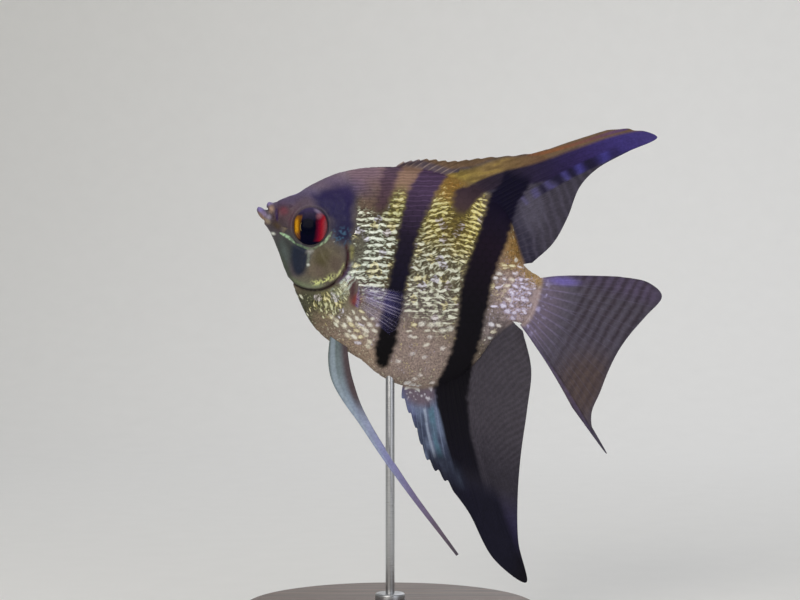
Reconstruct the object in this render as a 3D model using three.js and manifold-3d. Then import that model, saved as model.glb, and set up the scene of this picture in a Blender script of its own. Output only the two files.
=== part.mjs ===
// Freshwater angelfish (Pterophyllum scalare), life size, held nose-up on a plain display stand.
// Millimetres, +Z up. The origin is at the centre of the underside of the stand's base.
// The fish is drawn level in its own frame: the mouth at the origin, +X towards the tail, its left side
// towards -Y. The whole fish is then pitched nose-up and lifted onto the rod.
import * as THREE from "three";
import { mergeVertices } from "three/addons/utils/BufferGeometryUtils.js";
import Module from "manifold-3d";

const wasm = await Module();
wasm.setup();

// ---- Driving dimensions -------------------------------------------------------------------------
const standardLength = 69.5; // snout to the root of the tail fin
const pitch = THREE.MathUtils.degToRad(17); // nose-up tilt of the swimming fish
const mouth = new THREE.Vector3(-30.5, 0, 101.5); // the mouth's place above the base
const gap = 0.3; // parting gap between neighbouring pieces
const finEdge = 0.5; // thickness of every fin at its margin
const snoutX = 0.9; // where the body begins, behind the lips
const peduncleX = 61.2; // where the tail root begins
const facetTolerance = 0.05; // how far a facet may leave the true surface
const pelvicTrail = 0.9; // degrees by which the right pelvic fin hangs lower
const rodRadius = 1.1;
const base = { radius: 36, height: 8, edge: 2.2, chamfer: 0.6, socket: 4 };
// The eye is a shallow dome, a little taller than long, its rim flush with the cheek and turned forward
// with the head's taper. Its tall axis stands upright when the fish is pitched.
const eye = { x: 12.1, y: 4.9, z: 0.4, halfLength: 4.2, halfHeight: 4.6, bulge: 1, depth: 2.4, turn: 0.17 };
const gillCover = { x: 14.5, z: -5.5, radius: 8.4, thickness: 1.2 };

// ---- Outline of the body: height of the back and of the belly along its length ---------------------
const backLine = [
  [snoutX, 2.8], [2.4, 4.0], [4.6, 5.9], [6.6, 7.3], [8.2, 9.2], [11, 12.0], [15, 15.2], [20, 17.9],
  [26, 20.1], [33, 21.6], [40, 22.0], [47, 21.2], [53, 19.2], [57, 16.4], [59.6, 12.6], [61.6, 9.0],
  [63.6, 6.8], [66.5, 5.6], [standardLength, 5.0],
];
const bellyLine = [
  [snoutX, -2.2], [3, -3.8], [6, -7.3], [9, -11.3], [11.5, -14.0], [15, -18.2], [19, -22.0], [23, -24.3],
  [28, -25.6], [33, -26.9], [38, -29.0], [43, -29.8], [48, -29.2], [53, -27.0], [57, -23.2], [59.6, -18.4],
  [61.4, -12.8], [63.2, -9.2], [65.2, -7.3], [standardLength, -7.7],
];
// Half the body's thickness along its length: a thin, tall, lens-shaped fish.
const halfWidthLine = [
  [snoutX, 1.5], [4, 2.9], [8, 4.3], [13, 5.4], [20, 6.2], [28, 6.5], [38, 6.0], [48, 4.6], [56, 3.4],
  [62, 2.6], [standardLength, 1.2],
];

// A smooth curve through the points, read as a height for each place along the body.
function along(points) {
  const curve = new THREE.SplineCurve(points.map(([x, z]) => new THREE.Vector2(x, z)));
  const samples = curve.getPoints(points.length * 16);
  return (x) => {
    const next = samples.findIndex((p) => p.x >= x);
    if (next === -1) return samples[samples.length - 1].y;
    if (next === 0) return samples[0].y;
    const [a, b] = [samples[next - 1], samples[next]];
    return THREE.MathUtils.lerp(a.y, b.y, (x - a.x) / (b.x - a.x));
  };
}
const backAt = along(backLine);
const bellyAt = along(bellyLine);
const halfWidthAt = along(halfWidthLine);

// ---- Solids -------------------------------------------------------------------------------------
function toSolid(geometry) {
  const plain = geometry.clone();
  plain.deleteAttribute("normal");
  plain.deleteAttribute("uv");
  const merged = mergeVertices(plain, 1e-3);
  return new wasm.Manifold(
    new wasm.Mesh({
      numProp: 3,
      vertProperties: new Float32Array(merged.attributes.position.array),
      triVerts: new Uint32Array(merged.index.array),
    }),
  );
}

function toGeometry(solid) {
  const mesh = solid.simplify(facetTolerance).getMesh();
  const geometry = new THREE.BufferGeometry();
  geometry.setAttribute("position", new THREE.BufferAttribute(new Float32Array(mesh.vertProperties), 3));
  geometry.setIndex(new THREE.BufferAttribute(new Uint32Array(mesh.triVerts), 1));
  geometry.computeVertexNormals();
  return geometry;
}

// The whole body, grown or shrunk by a margin: a sphere whose rings become upright lens sections.
function bodySolid(margin = 0) {
  const [sectionPoints, stations] = [24, 38];
  const geometry = new THREE.SphereGeometry(1, sectionPoints, stations);
  const place = geometry.attributes.position;
  const [first, last] = [snoutX - margin, standardLength + margin];
  for (let i = 0; i < place.count; i++) {
    const p = new THREE.Vector3().fromBufferAttribute(place, i);
    const station = Math.round((Math.acos(THREE.MathUtils.clamp(p.y, -1, 1)) / Math.PI) * stations);
    const around = Math.atan2(-p.z, p.x);
    const share = THREE.MathUtils.clamp((station - 1) / (stations - 2), 0, 1);
    const x = THREE.MathUtils.lerp(first, last, share);
    const atPole = station === 0 || station === stations;
    const inside = THREE.MathUtils.clamp(x, snoutX, standardLength);
    const [top, bottom] = [backAt(inside) + margin, bellyAt(inside) - margin];
    const blade = THREE.MathUtils.mapLinear(top - bottom, 6, 52, 1.05, 1.4); // tall sections have thin rims
    const reach = atPole ? 0 : 1;
    const y = reach * (halfWidthAt(inside) + margin) * Math.sign(Math.sin(around))
      * Math.abs(Math.sin(around)) ** blade;
    const z = (top + bottom) / 2 + (reach * Math.cos(around) * (top - bottom)) / 2;
    place.setXYZ(i, x, y, z);
  }
  return toSolid(geometry);
}

function ellipsoid(radii, centre, lean = 0, around = 14) {
  const geometry = new THREE.SphereGeometry(1, around, Math.round(around * 0.6));
  geometry.scale(...radii);
  geometry.rotateY(lean);
  geometry.translate(...centre);
  return toSolid(geometry);
}

// A slab of the given outline in the X-Z plane, from one side of the fish to the other.
function slab(shape, fromY = -20, toY = 20) {
  const geometry = new THREE.ExtrudeGeometry(shape, {
    depth: toY - fromY, bevelEnabled: false, curveSegments: 16,
  });
  geometry.rotateX(Math.PI / 2); // the outline's second axis becomes +Z
  geometry.translate(0, toY, 0);
  return toSolid(geometry);
}

// A fin: a sheet ruled from root to margin by its rays, thicker at the root.
function finSolid({ rays, across, lengthwise = 8, rootThickness, bow = 0, bend = () => 0, margin = () => 1 }) {
  const roots = new THREE.CatmullRomCurve3(rays.map((ray) => new THREE.Vector3(...ray[0])));
  const tips = new THREE.CatmullRomCurve3(rays.map((ray) => new THREE.Vector3(...ray[1])));
  const at = (s, t) => {
    const [root, tip] = [roots.getPoint(s), tips.getPoint(s)];
    const ray = tip.clone().sub(root);
    const side = new THREE.Vector3(-ray.z, 0, ray.x).multiplyScalar(bow * 4 * t * (1 - t));
    const point = root.addScaledVector(ray, t * margin(s, ray.length())).add(side);
    point.y += bend(point, t);
    return point;
  };
  const geometry = new THREE.BoxGeometry(1, 1, 1, across, lengthwise, 1);
  const place = geometry.attributes.position;
  const step = 1e-3;
  for (let i = 0; i < place.count; i++) {
    const s = THREE.MathUtils.clamp(place.getX(i) + 0.5, 0, 1);
    const t = THREE.MathUtils.clamp(place.getY(i) + 0.5, 0, 1);
    const [s0, s1] = [Math.max(s - step, 0), Math.min(s + step, 1)];
    const [t0, t1] = [Math.max(t - step, 0), Math.min(t + step, 1)];
    const normal = at(s1, t).sub(at(s0, t)).cross(at(s, t1).sub(at(s, t0))).normalize();
    const half = THREE.MathUtils.lerp(rootThickness, finEdge, Math.sqrt(t)) / 2;
    const point = at(s, t).addScaledVector(normal, Math.sign(place.getZ(i)) * half);
    place.setXYZ(i, point.x, point.y, point.z);
  }
  return toSolid(geometry);
}

// Spines stand proud of the membrane between them, over the front share of a fin.
function spinyMargin(share, across, notch = 0.8) {
  return (s, length) => (s < share ? 1 - (notch / length) * Math.sin((Math.PI * s * across) / 2) ** 2 : 1);
}

const flat = (x, z) => [x, 0, z];
const mirrored = (solid) => solid.mirror([0, 1, 0]);

// ---- Head, gill covers, trunk and tail root: one body parted with thin cuts ---------------------
const body = bodySolid();
const grownBody = bodySolid(gap);

function lips() {
  const upper = ellipsoid([1.4, 1.6, 0.85], [1.45, 0, 2.05], 0.75);
  const muzzle = ellipsoid([2.0, 1.9, 2.6], [2.4, 0, 0.6], 0.2);
  return upper.add(muzzle);
}

function lowerJaw() {
  return ellipsoid([1.9, 1.45, 0.85], [-0.1, 0, 0.05], 0.62, 12);
}

// The head ends behind the nape and along the round rear edge of the gill cover.
function headOutline(grow) {
  const { x, z, radius } = gillCover;
  const [from, to] = [0.48, -2.02]; // angles on the gill cover's circle, from the nape line to the throat
  const shape = new THREE.Shape();
  shape.moveTo(-6, 26);
  shape.lineTo(20 + grow, 26);
  shape.lineTo(x + (radius + grow) * Math.cos(from), z + (radius + grow) * Math.sin(from));
  shape.absarc(x, z, radius + grow, from, to, true);
  shape.lineTo(8, -19);
  shape.lineTo(-6, -19);
  return shape;
}

function gillCoverOutline(grow) {
  const { x, z, radius } = gillCover;
  const cheek = { x: x + 0.2 - grow, top: z + 3.6 + grow };
  const rim = radius - 0.6 + grow;
  const shape = new THREE.Shape();
  shape.absarc(x, z, rim, Math.asin((cheek.top - z) / rim), -Math.acos((cheek.x - x) / rim), true);
  shape.lineTo(cheek.x, cheek.top);
  return shape;
}

function tailRootOutline(grow) {
  const shape = new THREE.Shape();
  shape.moveTo(peduncleX - grow, -40);
  shape.lineTo(standardLength + 6, -40);
  shape.lineTo(standardLength + 6, 40);
  shape.lineTo(peduncleX - grow, 40);
  return shape;
}

function leftEyeBall(grow = 0) {
  const { x, y, z, halfLength, halfHeight, bulge, depth, turn } = eye;
  const [around, steps] = [22, 5];
  const profile = [];
  for (let i = 0; i <= 2 * steps; i++) {
    const angle = (i / steps - 1) * (Math.PI / 2); // from the back of the eye to the middle of the dome
    const rise = angle < 0 ? depth + grow : bulge + grow;
    profile.push(new THREE.Vector2(Math.cos(angle), rise * Math.sin(angle)));
  }
  profile[0].x = 0;
  profile[2 * steps].x = 0;
  const geometry = new THREE.LatheGeometry(profile, around);
  geometry.scale(halfLength + grow, 1, halfHeight + grow);
  geometry.rotateX(Math.PI); // the dome now faces -Y
  geometry.rotateY(-pitch);
  geometry.rotateZ(-turn);
  geometry.translate(x, -y, z);
  return toSolid(geometry);
}

function gillPlate(grow) {
  const shell = bodySolid(grow).subtract(bodySolid(-gillCover.thickness - grow));
  return shell.intersect(slab(gillCoverOutline(grow), -20, grow - 1.5));
}

const leftEye = leftEyeBall();
const leftSocket = leftEyeBall(gap);
const leftGillCover = gillPlate(0).subtract(leftSocket);
const rightGillCover = mirrored(leftGillCover);
const gillSeats = gillPlate(gap).add(mirrored(gillPlate(gap)));
const eyeSockets = leftSocket.add(mirrored(leftSocket));
const head = body.intersect(slab(headOutline(0))).add(lips()).subtract(eyeSockets).subtract(gillSeats);
const jaw = lowerJaw().subtract(lips().add(body).add(ellipsoid([2.3, 2.2, 2.9], [2.4, 0, 0.6], 0.2)));

// ---- Stand --------------------------------------------------------------------------------------
// The rod is upright in the stand's frame, so in the fish's frame it leans by the pitch.
const fishPlace = new THREE.Matrix4().makeRotationY(pitch).setPosition(mouth);
const rodTop = mouth.z - 36.5; // just inside the belly, between the pelvic and anal fins
const rodBottom = base.height - base.socket + gap;

function rodGeometry(grow = 0) {
  const length = rodTop - rodBottom + 2 * grow;
  const geometry = new THREE.CylinderGeometry(rodRadius + grow, rodRadius + grow, length, 24);
  geometry.rotateX(Math.PI / 2);
  geometry.translate(0, 0, (rodTop + rodBottom) / 2);
  return geometry;
}

function standBase() {
  const { radius, height, edge, chamfer, socket } = base;
  const bore = rodRadius + gap;
  const profile = [
    new THREE.Vector2(0, 0), new THREE.Vector2(radius - chamfer, 0), new THREE.Vector2(radius, chamfer),
  ];
  for (let i = 0; i <= 3; i++) {
    const turn = (i / 3) * (Math.PI / 2);
    profile.push(new THREE.Vector2(
      radius - edge + edge * Math.cos(turn), height - edge + edge * Math.sin(turn),
    ));
  }
  profile.push(new THREE.Vector2(bore, height), new THREE.Vector2(bore, height - socket));
  profile.push(new THREE.Vector2(0, height - socket));
  return new THREE.LatheGeometry(profile, 36).rotateX(Math.PI / 2);
}

function standCollar() {
  const [inner, outer, height] = [rodRadius + gap, rodRadius + 2.6, 2.4];
  const floor = base.height + gap;
  const profile = [
    [inner, floor], [outer, floor], [outer, floor + height * 0.4], [outer - 1.2, floor + height],
    [inner, floor + height], [inner, floor],
  ].map(([r, z]) => new THREE.Vector2(r, z));
  return new THREE.LatheGeometry(profile, 16).rotateX(Math.PI / 2);
}

const rodSeat = toSolid(rodGeometry(gap).applyMatrix4(fishPlace.clone().invert()));
const trunk = body.subtract(slab(headOutline(gap))).subtract(slab(tailRootOutline(gap))).subtract(rodSeat);
const tailRoot = body.intersect(slab(tailRootOutline(0)));

// ---- Fins: each pair is the root and the tip of one ray -------------------------------------------
const dorsalAcross = 38;
const dorsalFin = finSolid({
  rays: [
    [flat(27.0, 19.7), flat(28.6, 21.6)], [flat(31.0, 20.4), flat(33.6, 23.9)],
    [flat(35.5, 20.8), flat(40.0, 25.4)], [flat(40.0, 20.8), flat(47.5, 28.7)],
    [flat(44.5, 20.6), flat(58.5, 33.4)], [flat(48.5, 19.8), flat(76.5, 45.0)],
    [flat(51.2, 18.9), flat(85.2, 45.4)], [flat(53.4, 17.6), flat(79.6, 40.2)],
    [flat(55.0, 16.2), flat(73.6, 34.0)], [flat(56.6, 14.6), flat(70.9, 28.6)],
    [flat(58.6, 11.8), flat(70.2, 20.6)], [flat(60.4, 9.0), flat(68.7, 13.8)],
    [flat(62.6, 6.2), flat(65.2, 7.8)],
  ],
  across: dorsalAcross,
  lengthwise: 7,
  rootThickness: 1.3,
  bow: 0.035,
  bend: (p, t) => 1.6 * t * t * Math.sin((p.x - 52) / 14),
  margin: spinyMargin(0.46, dorsalAcross),
}).subtract(grownBody);

const analAcross = 38;
const analFin = finSolid({
  rays: [
    [flat(44.0, -28.9), flat(44.8, -32.4)], [flat(46.0, -28.7), flat(50.0, -38.4)],
    [flat(48.2, -28.2), flat(55.2, -45.2)], [flat(50.4, -27.3), flat(61.0, -48.8)],
    [flat(52.6, -26.1), flat(68.0, -53.8)], [flat(54.6, -24.4), flat(77.2, -62.9)],
    [flat(56.3, -22.4), flat(86.2, -66.0)], [flat(57.6, -20.0), flat(81.6, -57.4)],
    [flat(58.7, -17.4), flat(78.2, -47.0)], [flat(59.7, -14.6), flat(75.9, -36.8)],
    [flat(60.8, -11.8), flat(74.2, -26.2)], [flat(62.2, -9.2), flat(72.3, -16.8)],
    [flat(64.2, -6.6), flat(67.6, -8.6)],
  ],
  across: analAcross,
  lengthwise: 7,
  rootThickness: 1.3,
  bow: -0.03,
  bend: (p, t) => -1.6 * t * t * Math.sin((p.x - 50) / 13),
  margin: spinyMargin(0.28, analAcross),
}).subtract(grownBody);

const caudalFin = finSolid({
  rays: [
    [flat(67.9, 4.7), flat(80.0, 8.7)], [flat(68.0, 4.4), flat(87.0, 10.7)],
    [flat(68.1, 4.0), flat(93.4, 11.3)], [flat(68.2, 3.3), flat(97.4, 9.2)],
    [flat(68.4, 1.8), flat(95.2, 3.4)], [flat(68.5, 0.0), flat(93.0, -1.6)],
    [flat(68.5, -1.8), flat(91.4, -6.4)], [flat(68.4, -3.4), flat(90.4, -11.6)],
    [flat(68.2, -4.8), flat(89.8, -17.4)], [flat(67.8, -6.0), flat(89.2, -22.4)],
    [flat(67.4, -6.7), flat(90.6, -26.4)], [flat(67.0, -7.1), flat(95.4, -30.8)],
    [flat(66.8, -7.4), flat(84.4, -22.6)],
  ],
  across: 30,
  lengthwise: 8,
  rootThickness: 1.6,
  bow: 0.02,
  bend: (p, t) => 2.2 * t * t * Math.sin((p.z + 16) / 9),
}).subtract(grownBody);

// A pelvic fin: a short blade that runs out into a long feeler. Its leading and trailing edges.
const leftPelvicFin = finSolid({
  rays: [
    [[24.0, -1.2, -23.4], [28.6, -1.6, -24.6]], [[25.2, -2.2, -28.7], [31.0, -2.6, -29.6]],
    [[27.3, -3.2, -32.9], [33.2, -3.5, -33.1]], [[31.0, -4.2, -36.6], [36.0, -4.3, -36.9]],
    [[36.4, -5.1, -40.7], [40.2, -5.2, -41.2]], [[44.2, -6.2, -47.0], [46.8, -6.3, -46.9]],
    [[54.0, -7.1, -54.3], [55.2, -7.1, -53.7]], [[62.6, -7.7, -60.3], [63.2, -7.7, -59.6]],
    [[67.8, -8.0, -63.9], [68.2, -8.0, -63.4]],
  ],
  across: 26,
  lengthwise: 3,
  rootThickness: 0.9,
}).subtract(grownBody);

// The right one trails a little lower than the left.
const pelvicRoot = [26, 0, -24];
const rightPelvicFin = mirrored(leftPelvicFin)
  .translate(pelvicRoot.map((v) => -v))
  .rotate([0, pelvicTrail, 0])
  .translate(pelvicRoot)
  .subtract(grownBody);

// A pectoral fin: a fan that leaves the flank behind the gill cover.
const flankY = -5.4;
const leftPectoralFin = finSolid({
  rays: [
    [[25.3, flankY, -9.0], [36.6, -8.6, -8.0]], [[25.9, flankY, -10.4], [39.8, -9.4, -9.6]],
    [[26.4, flankY, -11.8], [40.6, -9.7, -12.8]], [[26.8, flankY, -13.0], [39.8, -9.5, -15.9]],
    [[27.0, flankY, -14.2], [37.2, -8.8, -18.6]],
  ],
  across: 12,
  lengthwise: 4,
  rootThickness: 1.1,
}).subtract(grownBody);

// ---- Finishes and assembly ----------------------------------------------------------------------
function finish(color, roughness, metalness = 0) {
  return new THREE.MeshStandardMaterial({ color, roughness, metalness });
}
const finishes = {
  headSkin: finish("#7c6a74", 0.45),
  scales: finish("#a8997f", 0.35, 0.25),
  gillSkin: finish("#8a8068", 0.4, 0.1),
  iris: finish("#2b0d14", 0.1),
  darkFin: finish("#3a3258", 0.5),
  clearFin: finish("#5d5568", 0.45),
  paleFin: finish("#aab6cf", 0.45),
  walnut: finish("#4a3020", 0.45),
  steel: finish("#b8b9bb", 0.3, 1),
};

function named(name, shape, material) {
  const mesh = new THREE.Mesh(shape.isBufferGeometry ? shape : toGeometry(shape), material);
  mesh.name = name;
  return mesh;
}

const fish = new THREE.Group();
fish.rotation.y = pitch;
fish.position.copy(mouth);
fish.add(
  named("head", head, finishes.headSkin),
  named("lower_jaw", jaw, finishes.headSkin),
  named("gill_cover_left", leftGillCover, finishes.gillSkin),
  named("gill_cover_right", rightGillCover, finishes.gillSkin),
  named("eye_left", leftEye, finishes.iris),
  named("eye_right", mirrored(leftEye), finishes.iris),
  named("trunk", trunk, finishes.scales),
  named("tail_root", tailRoot, finishes.scales),
  named("dorsal_fin", dorsalFin, finishes.darkFin),
  named("anal_fin", analFin, finishes.darkFin),
  named("caudal_fin", caudalFin, finishes.clearFin),
  named("pectoral_fin_left", leftPectoralFin, finishes.clearFin),
  named("pectoral_fin_right", mirrored(leftPectoralFin), finishes.clearFin),
  named("pelvic_fin_left", leftPelvicFin, finishes.paleFin),
  named("pelvic_fin_right", rightPelvicFin, finishes.paleFin),
);

const stand = new THREE.Group();
stand.add(
  named("stand_base", standBase(), finishes.walnut),
  named("stand_collar", standCollar(), finishes.steel),
  named("stand_rod", rodGeometry(), finishes.steel),
);

const angelfish = new THREE.Group();
angelfish.add(fish, stand);
export default angelfish;
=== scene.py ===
import math
import bpy
import numpy as np
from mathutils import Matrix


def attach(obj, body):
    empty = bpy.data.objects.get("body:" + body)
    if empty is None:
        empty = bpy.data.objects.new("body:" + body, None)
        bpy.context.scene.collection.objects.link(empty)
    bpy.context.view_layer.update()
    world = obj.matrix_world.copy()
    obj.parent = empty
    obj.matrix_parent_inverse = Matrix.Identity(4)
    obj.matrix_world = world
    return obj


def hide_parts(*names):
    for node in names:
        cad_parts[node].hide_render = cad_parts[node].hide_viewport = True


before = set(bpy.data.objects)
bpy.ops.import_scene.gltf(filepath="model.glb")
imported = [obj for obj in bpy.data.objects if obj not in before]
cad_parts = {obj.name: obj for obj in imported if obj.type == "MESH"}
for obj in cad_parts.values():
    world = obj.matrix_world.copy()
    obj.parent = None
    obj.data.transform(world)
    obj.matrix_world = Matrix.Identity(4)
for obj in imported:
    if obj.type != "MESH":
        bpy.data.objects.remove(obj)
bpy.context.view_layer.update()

# The fish is shaped level and in millimetres: mouth at the origin, +X to the tail, left flank to -Y.
# It is then pitched nose-up and carried to its place over the stand, as in the CAD.
fish = {"pitch": math.radians(17), "mouth": (-30.5, 0.0, 101.5), "snout": 0.9, "length": 69.5}
oneMm = 0.001
turnCos, turnSin = math.cos(fish["pitch"]), math.sin(fish["pitch"])


def tipped(p, angle):
    # turned nose-up, in the plane between the flanks
    c, s = math.cos(angle), math.sin(angle)
    return np.stack([p[:, 0] * c + p[:, 2] * s, p[:, 1], p[:, 2] * c - p[:, 0] * s], 1)


def toRow(p):
    return (tipped(p, fish["pitch"]) + np.array(fish["mouth"])) * oneMm


def clearSelection():
    bpy.ops.object.select_all(action="DESELECT")


def activate(piece):
    clearSelection()
    piece.select_set(True)
    bpy.context.view_layer.objects.active = piece


def newGrid(name, columns, rows):
    # a flat grid from -1 to 1, to be given its shape point by point
    clearSelection()
    bpy.ops.mesh.primitive_grid_add(x_subdivisions=columns, y_subdivisions=rows, size=2)
    bpy.context.object.name = name
    return bpy.context.object


def coords(piece):
    flat = np.empty(len(piece.data.vertices) * 3)
    piece.data.vertices.foreach_get("co", flat)
    return flat.reshape(-1, 3)


def setCoords(piece, points):
    piece.data.vertices.foreach_set("co", np.asarray(points, float).ravel())
    piece.data.update()


def applyModifier(piece, kind, name, **settings):
    activate(piece)
    mod = piece.modifiers.new(name, kind)
    for key, value in settings.items():
        setattr(mod, key, value)
    bpy.ops.object.modifier_apply(modifier=mod.name)


def smoothShade(piece, angle=None):
    activate(piece)
    if angle is None:
        bpy.ops.object.shade_smooth()
    else:
        bpy.ops.object.shade_smooth_by_angle(angle=angle)


def finishPiece(piece, slotName, *nodes, crease=None):
    smoothShade(piece, crease)
    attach(piece, "root")
    if nodes:
        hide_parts(*nodes)
    print(piece.name + ":", len(piece.data.polygons), "faces")
    return piece


def linear(hexValue):
    s = np.array([int(hexValue[i:i + 2], 16) / 255 for i in (1, 3, 5)])
    return np.where(s <= 0.04045, s / 12.92, ((s + 0.055) / 1.055) ** 2.4)


def rgba(hexValue):
    return (*linear(hexValue), 1.0)


def setAttribute(piece, name, values, kind="FLOAT_COLOR"):
    values = np.asarray(values, float)
    if kind == "FLOAT_COLOR":
        if values.shape[1] == 3:
            values = np.concatenate([values, np.ones((len(values), 1))], 1)
        layer = piece.data.color_attributes.new(name, "FLOAT_COLOR", "POINT")
        layer.data.foreach_set("color", values.ravel())
    else:
        layer = piece.data.attributes.new(name, kind, "POINT")
        layer.data.foreach_set("vector" if kind == "FLOAT_VECTOR" else "value", values.ravel())


def addNode(tree, kind, inputs=(), **settings):
    # inputs in the order of the node's sockets, or under their numbers or names
    made = tree.nodes.new("ShaderNode" + kind)
    for key, value in settings.items():
        setattr(made, key, value)
    for key, value in inputs.items() if isinstance(inputs, dict) else enumerate(inputs):
        if isinstance(value, bpy.types.Node):
            value = next(out for out in value.outputs if not out.is_unavailable)
        if isinstance(value, bpy.types.NodeSocket):
            tree.links.new(value, made.inputs[key])
        else:
            made.inputs[key].default_value = value
    return made


# Smooth lines and soft edges.
def smoothLine(points, steps=16):
    p = np.array([points[0], *points, points[-1]], float)
    t = np.linspace(0, 1, steps, endpoint=False)[:, None]
    parts = [
        b + 0.5 * ((c - a) * t + (2 * a - 5 * b + 4 * c - d) * t**2 + (3 * b - a - 3 * c + d) * t**3)
        for a, b, c, d in zip(p, p[1:], p[2:], p[3:])
    ]
    return np.concatenate([*parts, p[-1:]])


def along(points):
    line = smoothLine(points)
    return lambda x: np.interp(x, line[:, 0], line[:, 1])


def rise(value, low, high):
    t = np.clip((value - low) / (high - low), 0, 1)
    return t * t * (3 - 2 * t)


def between(value, low, full, fade, end):
    return rise(value, low, full) * (1 - rise(value, fade, end))


def bell(value, middle, width):
    return np.exp(-((value - middle) / width) ** 2)


def waver(x, z, size, seed):
    # soft random waves between -1 and 1, about one size apart
    table = np.random.default_rng(seed).uniform(-1, 1, (64, 64))
    gx, gz = np.asarray(x) / size + 1000, np.asarray(z) / size + 1000
    ix, iz = np.floor(gx).astype(int), np.floor(gz).astype(int)
    fx, fz = gx - ix, gz - iz
    fx, fz = fx * fx * (3 - 2 * fx), fz * fz * (3 - 2 * fz)
    row0 = table[ix % 64, iz % 64] * (1 - fx) + table[(ix + 1) % 64, iz % 64] * fx
    row1 = table[ix % 64, (iz + 1) % 64] * (1 - fx) + table[(ix + 1) % 64, (iz + 1) % 64] * fx
    return row0 * (1 - fz) + row1 * fz


def dab(x, z, centre, radii, lean=0.0, soft=0.5):
    # a soft-edged oval mark: 1 in the middle, 0 outside
    c, s = math.cos(math.radians(lean)), math.sin(math.radians(lean))
    dx, dz = x - centre[0], z - centre[1]
    u, v = (dx * c + dz * s) / radii[0], (dz * c - dx * s) / radii[1]
    return 1 - rise(np.hypot(u, v), 1 - soft, 1 + soft)


def nearLine(x, z, points):
    # distance to a smooth line, and how far along it the nearest place is
    line = smoothLine(points, 8)
    best, place = np.full(np.shape(x), 1e9), np.zeros(np.shape(x))
    for i, (a, b) in enumerate(zip(line, line[1:])):
        ab = b - a
        t = np.clip(((x - a[0]) * ab[0] + (z - a[1]) * ab[1]) / max(ab @ ab, 1e-9), 0, 1)
        d = np.hypot(x - a[0] - t * ab[0], z - a[1] - t * ab[1])
        place = np.where(d < best, (i + t) / (len(line) - 1), place)
        best = np.minimum(d, best)
    return best, place


def mixTo(base, colour, amount):
    amount = np.clip(np.asarray(amount), 0, 1)[:, None]
    return base * (1 - amount) + (linear(colour) if isinstance(colour, str) else colour) * amount


# The body's shape, as in the CAD.
body = {
    "back": [(0.9, 2.8), (2.4, 4.0), (4.6, 5.9), (6.6, 7.3), (8.2, 9.2), (11, 12.0), (15, 15.2), (20, 17.9),
             (26, 20.1), (33, 21.6), (40, 22.0), (47, 21.2), (53, 19.2), (57, 16.4), (59.6, 12.6),
             (61.6, 9.0), (63.6, 6.8), (66.5, 5.6), (69.5, 5.0)],
    "belly": [(0.9, -2.2), (3, -3.8), (6, -7.3), (9, -11.3), (11.5, -14.0), (15, -18.2), (19, -22.0),
              (23, -24.3), (28, -25.6), (33, -26.9), (38, -29.0), (43, -29.8), (48, -29.2), (53, -27.0),
              (57, -23.2), (59.6, -18.4), (61.4, -12.8), (63.2, -9.2), (65.2, -7.3), (69.5, -7.7)],
    "halfWidth": [(0.9, 1.5), (4, 2.9), (8, 4.3), (13, 5.4), (20, 6.2), (28, 6.5), (38, 6.0), (48, 4.6),
                  (56, 3.4), (62, 2.6), (69.5, 1.2)],
    "coatDepth": 0.24,  # the skin lies this far inside the CAD solids, under the scales
}
backAt, bellyAt, halfWidthAt = along(body["back"]), along(body["belly"]), along(body["halfWidth"])


def section(x, depth):
    top, bottom = backAt(x) - depth, bellyAt(x) + depth
    thin = 1 - 0.62 * rise(x, 64.5, 69.6)  # the tail root thins into the fin
    half = (halfWidthAt(x) - depth) * thin
    blade = 1.05 + 0.35 * (top - bottom - 6) / 46
    return top, bottom, half, blade


# How far round the flank a height is, so that scales keep their size over the back and the belly.
unrollX = np.linspace(fish["snout"], fish["length"], 240)
unrollC = np.sin(np.linspace(-math.pi / 2, math.pi / 2, 401))


def unroll():
    top, bottom, half, blade = (v[:, None] for v in section(unrollX, body["coatDepth"]))
    z = (top + bottom) / 2 + unrollC[None] * (top - bottom) / 2
    y = half * np.clip(1 - unrollC[None] ** 2, 0, 1) ** (blade / 2)
    step = np.hypot(np.diff(z, axis=1), np.diff(y, axis=1))
    run = np.concatenate([np.zeros((len(unrollX), 1)), np.cumsum(step, axis=1)], 1)
    middle = np.array([np.interp(0, unrollC, r) for r in run])[:, None]
    return run - middle


unrollRun = unroll()
unrollS = np.linspace(-32, 32, 641)
unrollBack = np.array([np.interp(unrollS, run, unrollC) for run in unrollRun])  # from distances to heights


def middleAt(x):
    return (backAt(x) + bellyAt(x)) / 2


def tableAt(table, x, s):
    gx = np.clip((x - unrollX[0]) / (unrollX[1] - unrollX[0]), 0, len(unrollX) - 1.001)
    gs = np.clip((s - unrollS[0]) / (unrollS[1] - unrollS[0]), 0, len(unrollS) - 1.001)
    ix, js = gx.astype(int), gs.astype(int)
    fx, fs = gx - ix, gs - js
    low = table[ix, js] * (1 - fs) + table[ix, js + 1] * fs
    high = table[ix + 1, js] * (1 - fs) + table[ix + 1, js + 1] * fs
    return low * (1 - fx) + high * fx


def skinPoint(x, s, side):
    # the place on the skin at x along the fish and s round the flank from its middle line
    x = np.clip(x, fish["snout"], fish["length"])
    c = tableAt(unrollBack, x, s)
    top, bottom, half, blade = section(x, body["coatDepth"])
    y = half * np.clip(1 - c**2, 0, 1) ** (blade / 2)
    return np.stack([x, side * y, (top + bottom) / 2 + c * (top - bottom) / 2], -1)


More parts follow.
